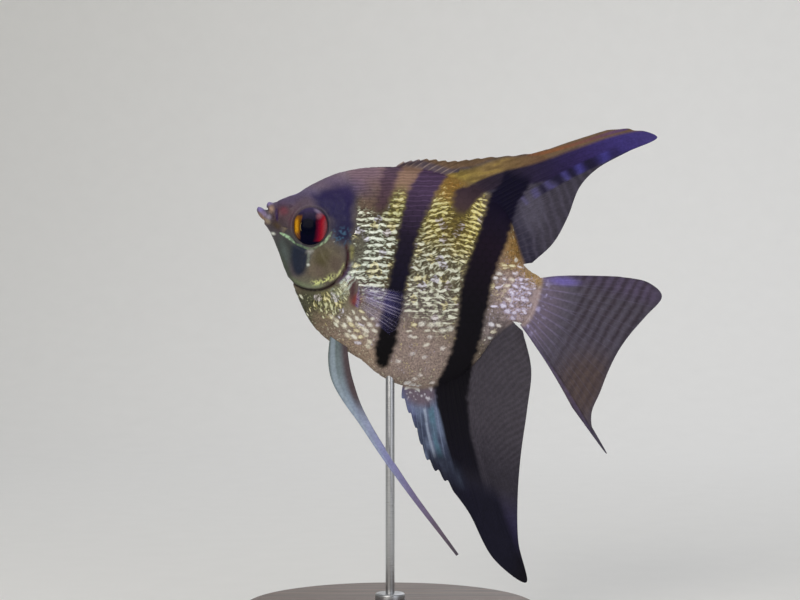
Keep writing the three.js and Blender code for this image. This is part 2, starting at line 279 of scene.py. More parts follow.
def runOf(x, z):
    # distance round the flank for a height z
    x = np.clip(x, fish["snout"], fish["length"])
    top, bottom, _, _ = section(x, body["coatDepth"])
    c = np.clip((z - (top + bottom) / 2) / ((top - bottom) / 2), -1, 1)
    rows = np.clip(np.searchsorted(unrollX, x), 0, len(unrollX) - 1)
    steps = len(unrollC) - 1
    gc = (np.arcsin(c) + math.pi / 2) / math.pi * steps
    j = np.clip(gc.astype(int), 0, steps - 1)
    return unrollRun[rows, j] * (1 - (gc - j)) + unrollRun[rows, j + 1] * (gc - j)


# Markings: one set of functions for skin, scales and fins.
# A wash is a colour laid softly over an oval: colour, centre, radii, lean in degrees, softness, strength.
flankWashes = {
    "upper side": ("#574e39", (33, 3), (17, 11), 0, 0.6, 0.95),
    "brown back": ("#8a6e5f", (31, 17.8), (13, 5), 0, 0.6, 0.95),
    "gold back": ("#6d6136", (44, 11), (7.5, 9), 10, 0.5, 0.95),
    "olive middle": ("#5f502c", (45, 10), (3.5, 4.5), 0, 0.7, 0.7),
    "gold ridge": ("#8c6f38", (41.3, 19.8), (4, 4), 0, 0.6, 0.95),
    "gold front": ("#6b6339", (30.2, 11.5), (2.6, 4), 0, 0.6, 0.8),
    "middle side": ("#655d4b", (44, -2), (8, 6), 0, 0.6, 0.9),
    "lower side": ("#6f6662", (44, -10), (8, 5), 0, 0.6, 0.9),
    "shoulder": ("#605e54", (26, -3), (4.5, 8), 0, 0.6, 0.85),
    "pectoral place": ("#6d5c58", (27, -11), (4, 4), 0, 0.6, 0.8),
    "under pectoral": ("#857c6c", (29.5, -18), (6, 4.5), 0, 0.6, 0.9),
    "breast": ("#6e6b50", (21, -15), (5.5, 4.5), -50, 0.6, 0.95),
    # the throat's darkness is partly its own colour and partly painted shade
    "throat": ("#434536", (17, -17.5), (4, 3.2), -45, 0.6, 0.9),
    "breast edge": ("#766755", (23, -21.5), (5, 3), -30, 0.6, 0.8),
    "belly": ("#90807a", (42, -21.5), (16, 8), 0, 0.6, 0.95),
    "belly edge": ("#93806f", (32, -24.5), (6, 3), -15, 0.6, 0.8),
    "behind rear bar": ("#8c7460", (60, 5), (3.5, 6), 15, 0.6, 0.95),
    "tail root": ("#a99698", (65.5, -1), (6.5, 8), 0, 0.6, 1.0),
    "tail root top": ("#a98a52", (66.4, 4.4), (3.4, 1.5), -15, 0.8, 0.9),
    "rear low": ("#7d7273", (60.5, -10), (4, 5), 20, 0.6, 0.85),
    "rear edge": ("#91703f", (60.4, 9.4), (2.5, 5), 22, 0.7, 0.95),
    "nape": ("#755f6c", (20.5, 16.5), (5.5, 4.5), 0, 0.6, 0.95),
    "behind indigo": ("#665249", (23.5, 11), (2.6, 4), 0, 0.7, 0.85),
    "over indigo": ("#4f4264", (17.5, 12.4), (5.5, 1.9), 0, 0.8, 0.6),
}
headWashes = {
    "forehead": ("#5b5372", (8.8, 7.4), (4.4, 3.2), 35, 0.7, 0.95),
    "brow": ("#594a55", (9.3, 5.0), (2.8, 2.2), 20, 0.7, 0.85),
    "before eye": ("#604a54", (7.2, 1.5), (1.4, 3.2), 0, 0.7, 0.6),
    "snout top": ("#574a64", (4.2, 4.6), (3.4, 1.6), 40, 0.7, 1.0),
    "snout side": ("#50353f", (5.0, 1.0), (2.6, 2.6), 0, 0.6, 0.95),
    "snout low": ("#40343a", (5.2, -1.4), (2.4, 1.5), -20, 0.7, 0.9),
    "red spot": ("#6e2a3c", (4.8, 2.1), (0.95, 0.85), 0, 0.8, 0.7),
    "olive lip root": ("#463826", (3.9, -1.9), (1.3, 0.8), 0, 0.8, 0.9),
    "chin": ("#453e44", (3.4, -2.9), (1.5, 0.9), -40, 0.8, 0.8),
    # the cheek's darkness, here and along its lower edge, is partly its own colour and partly painted shade
    "cheek": ("#3b3e3d", (7.6, -6.6), (3.4, 4.6), -50, 0.6, 1.0),
    "cheek pale": ("#5f6a68", (7.9, -7.6), (0.9, 3.0), 30, 0.9, 0.55),
    "cheek edge": ("#3c4636", (9.4, -11.4), (4.4, 0.9), -50, 0.8, 0.8),
    "opercle": ("#5d5545", (17.6, -7.0), (5.5, 5.6), 0, 0.5, 1.0),
    "opercle heart": ("#4c4529", (17.0, -6.0), (1.5, 1.9), 0, 0.9, 0.85),
    "opercle blush": ("#6b5c54", (16.4, -9.3), (1.8, 1.3), 0, 0.9, 0.6),
    "opercle rear": ("#5b4c46", (20.4, -6.6), (1.5, 2.4), 0, 0.8, 0.6),
    "opercle front": ("#66635d", (13.8, -7.0), (0.8, 2.6), 5, 0.9, 0.7),
    "opercle low": ("#6a6857", (15.4, -12.4), (3.4, 1.2), 5, 0.8, 0.8),
    "nape": ("#7b6a78", (15, 14.4), (7.5, 2.6), 33, 0.7, 1.0),
    "over indigo": ("#4f4264", (15.5, 12.0), (5.0, 1.8), 0, 0.8, 0.6),
    # painted shadow under the gill cover's lower edge
    "throat spot": ("#2c3020", (14.0, -14.4), (2.6, 0.9), -25, 0.8, 0.9),
    "lower lip": ("#8f7462", (0.0, -0.75), (1.5, 0.55), -35, 0.8, 0.9),
    "upper lip": ("#7f75b0", (-0.9, 0.9), (1.0, 0.6), -25, 0.8, 0.9),
    "between lips": ("#8c7c9c", (0.4, 0.1), (0.9, 0.5), -35, 0.8, 0.8),
    # a painted highlight on the lower lip
    "lower lip highlight": ("#a5957f", (1.7, -1.3), (0.7, 0.5), -35, 0.8, 0.7),
    "mouth corner": ("#a39ab2", (1.7, -0.3), (0.5, 0.5), 0, 0.9, 0.7),
    "snout tip": ("#8b7eb2", (0.6, 2.9), (0.9, 0.6), 20, 0.8, 0.9),
    "upper lip root": ("#a08573", (1.7, 1.7), (0.6, 0.9), 15, 0.8, 0.85),
}
# Painted lines of the head: colour, half width, strength (even, in sparkles of painted glint), course.
headLines = {
    "lip fold": ("#33214c", 0.36, (0.85, 0), [(2.9, 2.2), (3.1, 1.4), (3.5, 0.4), (4.0, -0.6)]),
    # the lavender line along the snout's ridge is a painted highlight
    "snout ridge highlight": ("#7d70a8", 0.32, (0.7, 0), [(1.9, 3.7), (4.3, 5.9), (6.6, 7.7), (9.3, 10.8)]),
    "under eye": ("#a4c79f", 0.36, (0.35, 0.65), [(5.4, -3.2), (6.8, -3.4), (8.0, -3.7), (9.6, -4.5)]),
    "over gill plate": ("#6f8768", 0.3, (0.3, 0.4),
                        [(9.2, -4.5), (11.7, -4.75), (13.8, -4.7), (15.2, -3.8)]),
    "behind eye": ("#a9c49d", 0.36, (0.25, 0.75), [(14.4, -4.2), (15.9, -2.7), (16.8, -1.2), (17.3, 0.6)]),
    "gill cover top": ("#9b9a92", 0.26, (0, 1), [(16.9, -3.3), (17.7, -2.5), (18.6, -1.4)]),
}
# Bands along the gill cover's rim: colour, distance out, half width, turn, strength (even, in flecks of
# painted glint).
rimBands = {
    "thin line": ("#c6c78a", 7.85, 0.3, (-4, 6, 30, 42), (0.35, 0.65)),
    "flecks": ("#d3d98e", 7.15, 0.6, (22, 36, 70, 84), (0, 1)),
    "dull green": ("#7d8a6a", 7.9, 0.55, (48, 66, 104, 122), (0.55, 0)),
}
# Dark patches of the head, each a smooth outline.
indigo = [(10.2, 7.6), (10.9, 6.8), (11.8, 5.9), (13.1, 5.1), (14.6, 4.5), (16.2, 3.1), (17.1, 1.5),
          (18.2, -0.2), (19.6, -1.0), (20.9, -0.9), (21.8, 0.3), (22.0, 2.0), (21.0, 4.8), (20.6, 7.2),
          (20.4, 9.6), (19.4, 11.6), (17.6, 12.2), (15.1, 11.2), (12.8, 9.7), (11.2, 8.4)]
navy = [(9.2, -5.2), (10.7, -4.4), (12.8, -4.8), (13.6, -6.4), (13.9, -8.9), (13.5, -10.9), (12.2, -11.6),
        (10.9, -10.6), (9.8, -8.2)]
headEdge = ([-1.6, 2, 6, 10, 14, 18], [22.1, 22.6, 22.2, 20.2, 17.4, 15.0])
gillCover = {
    "centre": (14.5, -5.5), "radius": 8.4,
    # angle round the gill cover from its rear, then the slit's distance out and half its width
    "slit": ([-135, -95, -60, -25, 0, 34],
             [8.6, 8.75, 8.9, 8.75, 8.5, 8.0], [0.22, 0.24, 0.3, 0.4, 0.46, 0.3]),
}
eyePlace = {"centre": (12.1, 0.4), "halfLength": 4.1, "halfHeight": 4.5, "radius": 4.3}
# Each bar: heights, where its front and rear edges are at those heights, its colours from bottom to top,
# and the heights between which it fades in.
bars = {
    "shoulder": {"z": (5, 8, 17, 22), "front": (25.8, 25.5, 24.5, 24.2), "rear": (27.8, 28.0, 28.4, 28.7),
                 "colours": ("#4a3434", "#513f52"), "fade": (6.5, 10.5), "soft": 1.0},
    "middle": {"z": (-27, -26.2, -23.4, -20, -17, -13, -8, 2.7, 6.7, 10.8, 14, 17, 20.5, 26),
               "front": (37.6, 36.6, 35.2, 35.0, 34.4, 34.3, 33.9,
                         32.9, 32.3, 32.1, 32.0, 32.0, 33.1, 34.0),
               "rear": (38.4, 39.2, 39.6, 39.7, 39.2, 38.7, 38.2,
                        37.1, 36.9, 37.3, 37.8, 38.3, 39.2, 40.2),
               "colours": ("#060405", "#08050c", "#0e0a20", "#1d1528", "#44344d", "#4f3b57"),
               "fade": (-27.6, -26.4), "soft": 0.65},
    "wedge": {"z": (12.5, 13.6, 15.3, 17, 19, 20.4, 22, 24, 26, 28.5),
              "front": (45, 44.3, 43.1, 42.5, 42.4, 44.6, 47.3, 49.8, 52.6, 56.2),
              "rear": (45.4, 46.1, 46.8, 47.5, 48.3, 49.3, 51.2, 53.9, 57.5, 62),
              "colours": ("#4a3a33", "#45353a", "#382a34", "#302532", "#2a2238"),
              "fade": (12.5, 15), "soft": 0.7},
    "rear": {"z": (-52, -45, -40, -36, -32, -28, -20, -15, -10, -5, 0, 5, 12, 17, 20.5, 24),
             "front": (66, 61.6, 58.2, 56, 53.6, 51.5, 52.6, 52.5, 51.8,
                       51, 50.3, 50.6, 50.9, 50.7, 50.9, 52.4),
             "rear": (73, 68.4, 65.5, 63, 61.5, 59.8, 58.7, 58.8, 58.3,
                      57.8, 57.2, 57.3, 57.8, 57.7, 57.8, 58.8),
             "colours": ("#131120", "#0e0c16", "#0a070e", "#0a0710", "#180c1d", "#0c0825"),
             "fade": (-90, -80), "soft": 0.6},
}


def wash(base, x, z, washes):
    for colour, centre, radii, lean, soft, strength in washes.values():
        base = mixTo(base, colour, strength * dab(x, z, centre, radii, lean, soft))
    return base


def patch(x, z, outline, soft):
    # a smooth closed outline, softened both ways from its edge
    ring = [*outline, outline[0]]
    line = smoothLine(ring, 8)
    inside = np.zeros(np.shape(x), bool)
    for (ax, az), (bx, bz) in zip(line, line[1:]):
        if az != bz:
            inside ^= ((az > z) != (bz > z)) & (x < ax + (bx - ax) * (z - az) / (bz - az))
    away = nearLine(x, z, ring)[0]
    return 1 - rise(np.where(inside, -away, away), -soft, soft)


def streak(x, z, points, half, soft=0.5):
    # a soft painted line, thinning at both ends
    away, place = nearLine(x, z, points)
    wide = half * np.sin(math.pi * np.clip(place, 0.02, 0.98)) ** 0.5
    return 1 - rise(away / wide, 1 - soft, 1 + soft)


def ramp(colours, share):
    table = np.array([linear(c) for c in colours])
    at = np.linspace(0, 1, len(table))
    return np.stack([np.interp(share, at, table[:, k]) for k in range(3)], 1)


def level(x, z):
    # distances level and upright in the pose
    return x * turnCos + z * turnSin, z * turnCos - x * turnSin


def barShare(x, z, bar):
    ragged = 0.14 * np.sin(2 * math.pi * level(x, z)[1] / 1.55) + 0.35 * waver(x, z, 0.9, 5)
    ragged = ragged * rise(z, -35, -27)  # smooth where the bar runs out on the fin
    front, rear = np.interp(z, bar["z"], bar["front"]), np.interp(z, bar["z"], bar["rear"])
    soft = bar["soft"]
    inside = between(x + ragged, front - soft, front + soft, rear - soft, rear + soft)
    return inside * rise(z + ragged, *bar["fade"])


def barColour(z, bar):
    return ramp(bar["colours"], (z - bar["z"][0]) / (bar["z"][-1] - bar["z"][0]))


def gillRing(x, z):
    gx, gz = x - gillCover["centre"][0], z - gillCover["centre"][1]
    return np.hypot(gx, gz), np.degrees(np.arctan2(gz, gx))


def gillSlit(x, z):
    # how deep in the slit behind the gill cover a place is
    ring, turn = gillRing(x, z)
    angles, out, half = gillCover["slit"]
    away = (ring - np.interp(turn, angles, out)) / np.interp(turn, angles, half)
    return np.exp(-away**2) * between(turn, -135, -115, 26, 34)


def eyeRing(x, z):
    # distance from the eye's middle, as if it were round, and the direction from it, level in the pose
    h, k = level(x - eyePlace["centre"][0], z - eyePlace["centre"][1])
    out = np.hypot(h / eyePlace["halfLength"], k / eyePlace["halfHeight"]) * eyePlace["radius"]
    return out, np.degrees(np.arctan2(k, h))


def headShare(x, z, soft=0.5):
    # 1 on the head and gill cover, 0 on the scaled body
    above = 1 - rise(x - np.interp(z, *headEdge), -soft, soft)
    ring = gillRing(x, z)[0]
    below = np.maximum(1 - rise(ring, gillCover["radius"] - 0.1, gillCover["radius"] + 0.5),
                       1 - rise(x + 0.35 * (z + 13), 9.0, 10.5))
    return np.where(z > headEdge[0][0], above, below)


def headColour(x, z):
    c = np.tile(linear("#544c52"), (len(x), 1))
    c = wash(c, x, z, headWashes)
    c = mixTo(c, "#172135", patch(x, z, navy, 0.8) * 0.95)
    # the silver-green lines under and behind the eye are broken into short painted glints
    sparkle = np.clip(0.5 + 1.1 * waver(x, z, 0.45, 8), 0, 1)
    for colour, half, (even, broken), course in headLines.values():
        c = mixTo(c, colour, streak(x, z, course, half) * (even + broken * sparkle))
    # a painted highlight on top of the snout
    c = mixTo(c, "#8d83c4", dab(x, z, (5.9, 7.1), (0.9, 0.4), 40, 0.9) * 0.7)
    # painted glints: a silver fleck at the gill cover's front and the pale line down from it
    c = mixTo(c, "#a5a6a0", dab(x, z, (13.7, -5.4), (0.8, 0.5), 30, 0.9) * (0.4 + 0.5 * sparkle))
    front = streak(x, z, [(13.3, -5.6), (13.8, -7.0), (14.1, -9.2)], 0.34)
    c = mixTo(c, "#7b8378", front * (0.3 + 0.4 * sparkle))
    for spot, radii in (((14.2, -8.5), (0.34, 0.28)), ((3.8, -3.8), (0.5, 0.3))):
        c = mixTo(c, "#d4d8cf", dab(x, z, spot, radii, 0, 0.9))
    ring, turn = gillRing(x, z)
    # the flecks along the rim are painted glints
    flecks = np.clip(waver(x, z, 0.36, 9) * 2.4 + 0.45, 0, 1)
    for colour, out, half, turns, (even, broken) in rimBands.values():
        c = mixTo(c, colour, bell(ring, out, half) * between(-turn, *turns) * (even + broken * flecks))
    # fine rays of the gill plate
    comb = np.sin(np.degrees(np.arctan2(z + 1.5, x - 13.5)) / 4.2 + 1.5 * waver(x, z, 2.5, 12))
    plate = dab(x, z, (17.6, -7.2), (4.4, 4.4), 0, 0.3)
    c = mixTo(c, "#746b58", plate * np.clip(comb, 0, 1) * 0.35)
    # the eye's rim: navy behind and below, brown before, the head's own colour over the top
    out, way = eyeRing(x, z)
    rim = bell(out, 4.5, 0.26)
    c = mixTo(c, "#171124", rim * np.where(np.abs(way) < 115, 1 - rise(way, 35, 75), 0) * 0.85)
    c = mixTo(c, "#3d2c2a", rim * rise(np.abs(way), 110, 150) * 0.7)
    return c * (1 + 0.07 * waver(x, z, 0.5, 16) + 0.07 * waver(x, z, 1.4, 17))[:, None]


def bodyColour(x, z):
    flank = np.tile(linear("#6f6353"), (len(x), 1))
    flank = wash(flank, x, z, flankWashes)
    for bar in bars.values():
        flank = mixTo(flank, barColour(z, bar), barShare(x, z, bar))
    soft = np.where(z > headEdge[0][0], headShare(x, z, 1.4), headShare(x, z))
    colour = mixTo(flank, headColour(x, z), soft)
    deep = ramp(("#11173a", "#150f3c", "#191144", "#221848", "#3a2f56"), (z + 1) / 14)
    ragged = patch(x + 0.5 * waver(x, z, 1.8, 6), z + 0.4 * waver(x, z, 1.6, 7), indigo, 1.4)
    colour = mixTo(colour, deep, ragged * 0.98)
    glint = dab(x, z, (20.2, 0.4), (2.2, 1.7), 0, 0.8) * np.clip(waver(x, z, 0.45, 14) * 1.7, 0, 1)
    colour = mixTo(colour, "#3f6684", glint * 0.8)
    # behind the gill cover: violet, yellow-green, fine pale curves of painted iridescent highlight, the
    # maroon slit with painted shadow, and painted shadow along the throat's fold
    ring, turn = gillRing(x, z)
    behind = bell(ring, 9.3, 0.4)
    colour = mixTo(colour, "#54406a", behind * between(turn, -40, -24, -4, 6) * 0.8)
    colour = mixTo(colour, "#9b985a", behind * between(turn, 4, 12, 24, 32) * 0.7)
    # fine pale curves: painted iridescent highlights following the gill cover
    curves = np.sin(2 * math.pi * ring / 1.05 + 2.2 * waver(x, z, 1.4, 24))
    curves = np.clip(curves * rise(waver(x, z, 0.9, 25), -0.6, 0.1) + 0.1, 0, 1)
    curves = curves * dab(x, z, (23.9, -9.4), (2.0, 4.2), -18, 0.5) * rise(ring, 9.1, 9.7)
    colour = mixTo(colour, "#d3e0d3", curves * 1.2)
    # the slit: maroon flesh darkened by painted shadow
    slit = ramp(("#141010", "#1a0f14", "#2f121d", "#3f1a22"), (turn + 120) / 150)
    colour = mixTo(colour, slit, gillSlit(x, z))
    # painted shadow along the throat's fold
    colour = mixTo(colour, "#333422", streak(x, z, [(12, -14.6), (15, -18.2), (19.4, -22.2)], 0.7) * 0.75)
    # the fleshy root of the pectoral fin: red, wine before it
    colour = mixTo(colour, "#7a3834", dab(x, z, (27.4, -13.2), (1.2, 1.4), 10, 0.6) * 0.9)
    return mixTo(colour, "#4a2c33", dab(x, z, (26.0, -11.0), (0.6, 2.2), 10, 0.7) * 0.9)


# How much of the skin carries painted shine, by zone: centre, radii, lean, softness, share.
shineCover = {
    "side": ((37, 0.5), (21, 13), 0, 0.14, 0.46),
    "lower middle": ((45, -6), (7, 6), 0, 0.5, 0.56),
    "nape": ((23.4, 12.2), (5.2, 4.4), 0, 0.35, 0.0),
    "front": ((28, -1.5), (4.8, 6.5), 0, 0.5, 0.52),
    "behind eye": ((24.4, -1.5), (1.9, 4.5), 0, 0.5, 0.1),
    "behind gill": ((24.8, -9.5), (2.2, 3.2), 0, 0.5, 0.5),
    "breast": ((21, -14.5), (4.6, 3.6), -50, 0.5, 0.46),
    "gold front": ((30.3, 11), (2.2, 4), 0, 0.5, 0.52),
    "gold left": ((40.0, 12.5), (2.6, 6), 0, 0.5, 0.57),
    "gold right": ((49, 14), (2.2, 6), 0, 0.5, 0.6),
    "olive middle": ((44.6, 11), (2.2, 3.5), 0, 0.7, 0.25),
    "near rear bar": ((48.6, -9), (2.8, 6), 0, 0.5, 0.5),
    "gold ridge": ((41.5, 19), (2.2, 2), 0, 0.5, 0.3),
    "rear": ((60.5, 1), (3.2, 7), 15, 0.5, 0.22),
    "tail root": ((65.6, -1), (4, 5.5), 0, 0.4, 0.3),
}
# Where the painted shine is single ovals, one to a scale: the share of scales that have one.
ovalCover = {
    "breast": ((21.5, -15), (6, 5), -50, 0.4, 0.7),
    "throat": ((16.5, -17.5), (3.5, 3), -45, 0.5, 0.35),
    "under pectoral": ((29, -18), (5.5, 4.2), -10, 0.35, 0.95),
    "low side": ((45, -16), (7, 3.5), 0, 0.5, 0.32),
    "rear": ((61, 0), (4, 9), 15, 0.4, 0.55),
    "tail root": ((65.5, -1), (4.5, 6), 0, 0.4, 0.7),
    "rear low": ((60, -11), (3, 5), 25, 0.5, 0.4),
}
# Colours of the painted shine: colour, centre, radii, lean, softness, strength.
shineColours = {
    "front": ("#f3faee", (28, -2), (6, 9), 0, 0.6, 1.0),
    "gold left": ("#ebe3a4", (41, 13), (4.5, 8), 0, 0.6, 0.95),
    "gold right": ("#f5eba4", (48.5, 13), (3.5, 9), 0, 0.6, 0.95),
    "olive middle": ("#b0a368", (45, 10.5), (2.6, 4), 0, 0.8, 0.8),
    "gold front": ("#d9d8a2", (30.4, 11), (3, 5), 0, 0.6, 0.9),
    "gold ridge": ("#c59c58", (41.5, 19.3), (3.5, 3), 0, 0.6, 0.9),
    "breast": ("#d8d9ae", (21, -15), (5.5, 5), -50, 0.6, 0.9),
    "under pectoral": ("#f6f4ea", (29, -19), (5, 4), 0, 0.6, 0.9),
    "low": ("#dad4ca", (44, -20), (12, 6), 0, 0.6, 0.9),
    "rear": ("#e6e1fa", (63, -2), (6, 10), 0, 0.5, 0.95),
    "behind rear bar": ("#d5ceb8", (59.5, 6), (2.5, 4), 0, 0.6, 0.8),
}


def zoned(x, z, zones, base=0.0):
    value = np.full(np.shape(x), float(base))
    for centre, radii, lean, soft, share in zones.values():
        value += (share - value) * dab(x, z, centre, radii, lean, soft)
    return value


def clearOfBars(x, z):
    # 1 away from the bars and from the slit behind the gill cover
    clear = np.where(z < 1, rise(gillRing(x, z)[0], 9.3, 10.1), 1)
    for bar in bars.values():
        clear = clear * (1 - np.clip(barShare(x, z, bar) * 1.3, 0, 1))
    return clear


def flow(x, z):
    # distances along and across the bright painted highlight strokes: level in the pose, arched behind the
    # middle bar
    u, v = level(x, z)
    arch = 0.03 * np.clip(u - 45, -7, 8) ** 2 * rise(z, -4, 6) * rise(x, 34, 38)
    v = (v + arch) * (1 + 0.25 * rise(x, 34, 38) * rise(z, -5, 5))
    # over the breast they fan out from the gill cover
    ring, turn = gillRing(x, z)
    breast = dab(x, z, (20.5, -15), (6.5, 5.5), -50, 0.25)
    return np.stack([u + (ring * 1.2 - u) * breast, v - (np.radians(turn) * 15 + v) * breast, 0 * u], 1)


def strokeLimits(x, z):
    # the painted highlight strokes show where their pattern is above these limits; the third value is how
    # strictly strokes keep to rows
    cover = zoned(x, z, shineCover) * clearOfBars(x, z)
    middle = 0.975 - 0.7 * cover + 0.5 * (1 - rise(cover, 0, 0.12))
    rows = 0.34 + 0.2 * dab(x, z, (28, 2), (7, 11), 0, 0.5) + 0.14 * dab(x, z, (46, 12), (7, 9), 0, 0.5)
    rows -= 0.12 * dab(x, z, (43, -7), (7, 6), 0, 0.5)
    return np.stack([middle - 0.09, middle + 0.13, rows], 1)


def shineTint(x, z):
    return wash(np.tile(linear("#eef0e0"), (len(x), 1)), x, z, shineColours)


print("markings ready")


# Both bake maps share this layout: left flank below, right flank above.
flankUv = {"perMm": 0.0083, "margin": 0.04, "lead": 3, "left": 0.25, "right": 0.75}


def flankMap(x, s, side):
    middle = np.where(np.asarray(side) < 0, flankUv["left"], flankUv["right"])
    u = flankUv["margin"] + (x + flankUv["lead"]) * flankUv["perMm"]
    return np.stack([u, middle + s * flankUv["perMm"]], -1)


def writeUv(piece, name, values):
    layer = piece.data.uv_layers.new(name=name)
    layer.data.foreach_set("uv", np.asarray(values, float).ravel())


def loopVertices(piece):
    found = np.empty(len(piece.data.loops), int)
    piece.data.loops.foreach_get("vertex_index", found)
    return found


def faceOfLoop(piece):
    sizes = np.empty(len(piece.data.polygons), int)
    piece.data.polygons.foreach_get("loop_total", sizes)
    return np.repeat(np.arange(len(sizes)), sizes)


def normals(piece):
    flat = np.empty(len(piece.data.vertices) * 3)
    piece.data.vertex_normals.foreach_get("vector", flat)
    return flat.reshape(-1, 3)


# Skin: one closed surface from lips to tail root.
skinValues = {
    "around": 112, "rings": 170,
    "voxel": 0.3,
    # lobes under the lips: centre, radii, lean
    "upper lip": ((1.45, 0, 2.05), (1.35, 1.5, 0.82), 0.75),
    "muzzle": ((2.4, 0, 0.6), (1.95, 1.85, 2.55), 0.2),
    "lower jaw": ((-0.1, 0, 0.05), (1.86, 1.4, 0.82), 0.62),
    # how far things stand out or lie in, mm
    "head": 0.17, "socket": 1.1, "socket rim": 0.2, "gill rim": 0.16, "gill slit": 0.45, "gill cover": 0.1,
    "nostril": 0.3, "nostril rim": 0.1, "grain": 0.03,
}
# Grooves of the head: depth, where their walls begin and end, where they begin along their course, course.
grooves = {
    "cheek edge": (0.16, (0.1, 0.55), (0, 0.15),
                   [(15.6, -1.6), (14.8, -4.5), (14.2, -8.2), (12.4, -12.6), (10.4, -13.0)]),
    "mouth": (0.4, (0.05, 0.45), (-1, 0), [(-1.4, 2.0), (0.4, 1.5), (1.9, 0.9), (2.6, -0.2)]),
    "lip fold": (0.2, (0.1, 0.6), (-1, 0), [(2.6, 3.4), (3.2, 1.4), (3.3, -0.6), (2.4, -2.2)]),
}
# Ridges: height, half width, course.
ridges = {
    "cheekbone": (0.14, 0.6, [(4.4, -2.2), (7.0, -4.0), (10.0, -5.6), (13.5, -5.7)]),
    "pectoral root": (0.5, 1.1, [(25.6, -9.2), (26.6, -11.8), (27.0, -14.2)]),
}


def ball(name, segments, rings):
    clearSelection()
    bpy.ops.mesh.primitive_uv_sphere_add(segments=segments, ring_count=rings, radius=1)
    made = bpy.context.object
    made.name = name
    return made


def lobe(name, centre, radii, lean):
    made = ball(name, 40, 28)
    setCoords(made, tipped(coords(made) * np.array(radii), lean) + np.array(centre))
    return made


def bodyBall():
    # the ball's rings become cross-sections from lips to tail root
    rings = skinValues["rings"]
    made = ball("skin", skinValues["around"], rings)
    p = coords(made)
    station = np.round(np.arccos(np.clip(p[:, 2], -1, 1)) / math.pi * rings)
    inside = (station > 0) & (station < rings)
    share = np.clip((station - 1) / (rings - 2), 0, 1)
    x = fish["snout"] + 0.2 + share * (fish["length"] - fish["snout"] - 0.4)
    top, bottom, half, blade = section(x, body["coatDepth"])
    turn = np.arctan2(p[:, 1], p[:, 0])
    y = inside * half * np.sign(np.sin(turn)) * np.abs(np.sin(turn)) ** blade
    z = (top + bottom) / 2 + inside * np.cos(turn) * (top - bottom) / 2
    setCoords(made, np.stack([x, y, z], 1))
    return made


def relief(x, z):
    # how far the skin stands out from the plain body shape, in mm
    high = skinValues
    lift = high["head"] * np.where(z > headEdge[0][0], headShare(x, z, 2.5), headShare(x, z))
    socket = eyeRing(x, z)[0]
    lift += high["socket rim"] * bell(socket, 4.85, 0.4) - high["socket"] * (1 - rise(socket, 3.4, 4.35))
    ring, turn = gillRing(x, z)
    lift += high["gill rim"] * between(turn, -132, -112, 24, 34) * bell(ring, 7.9, 0.9)
    lift += high["gill cover"] * bell(np.hypot(x - 18.0, z + 6.4), 0, 3.2)
    lift -= high["gill slit"] * gillSlit(x, z)
    nostril = np.hypot(x - 6.0, z - 3.7)
    lift += high["nostril rim"] * bell(nostril, 0.6, 0.25) - high["nostril"] * bell(nostril, 0, 0.32)
    for depth, walls, start, course in grooves.values():
        away, place = nearLine(x, z, course)
        lift -= depth * (1 - rise(away, *walls)) * rise(place, *start)
    for height, half, course in ridges.values():
        lift += height * bell(nearLine(x, z, course)[0], 0, half)
    return lift + high["grain"] * waver(x, z, 1.1, 21) * (x < 24)


skin = bodyBall()
lobes = [lobe(name, *skinValues[name]) for name in ("upper lip", "muzzle", "lower jaw")]
activate(skin)
for made in lobes:
    made.select_set(True)
bpy.ops.object.join()
applyModifier(skin, "REMESH", "Even skin", mode="VOXEL", voxel_size=skinValues["voxel"], adaptivity=0)
applyModifier(skin, "SMOOTH", "Soft joins", factor=0.5, iterations=3)

# the head gets twice the detail
centres = np.empty(len(skin.data.polygons) * 3)
skin.data.polygons.foreach_get("center", centres)
centres = centres.reshape(-1, 3)
skin.data.polygons.foreach_set("select", headShare(centres[:, 0] - 1.2, centres[:, 2]) > 0.5)
bpy.ops.object.mode_set(mode="EDIT")
bpy.ops.mesh.select_mode(type="FACE")
bpy.ops.mesh.subdivide(number_cuts=1, smoothness=0)
bpy.ops.object.mode_set(mode="OBJECT")
applyModifier(skin, "SMOOTH", "Soft cuts", factor=0.5, iterations=2)

spots = coords(skin)
spots = spots + normals(skin) * relief(spots[:, 0], spots[:, 2])[:, None]
setCoords(skin, spots)
setAttribute(skin, "tint", bodyColour(spots[:, 0], spots[:, 2]))
corners, owner = loopVertices(skin), faceOfLoop(skin)
faceSide = np.sign(np.bincount(owner, spots[corners, 1]) + 1e-9)
cornerX, cornerZ = spots[corners, 0], spots[corners, 2]
writeUv(skin, "OFBake", flankMap(cornerX, runOf(np.maximum(cornerX, 3), cornerZ), faceSide[owner]))
setCoords(skin, toRow(spots))
finishPiece(skin, "head_skin",
            "head", "lower_jaw", "gill_cover_left", "gill_cover_right", "trunk", "tail_root")


# Scales: rounded plates in rows, each lifted a little at its free edge.
coat = {
    "pitch": 2.05, "row": 1.57,      # spacing along and between the rows, mm
    "root": -2.2, "free": 1.15,      # where a scale begins and ends, from the middle of what shows
    "span": 3.3, "half": 1.58, "thick": 0.05,
    "clearance": 0.03, "lift": 0.17, "arch": 0.06,
    "cells": (6, 6),
    "seed": 11,
    "uvSpan": 0.003,                 # a scale's length in the bake map
}
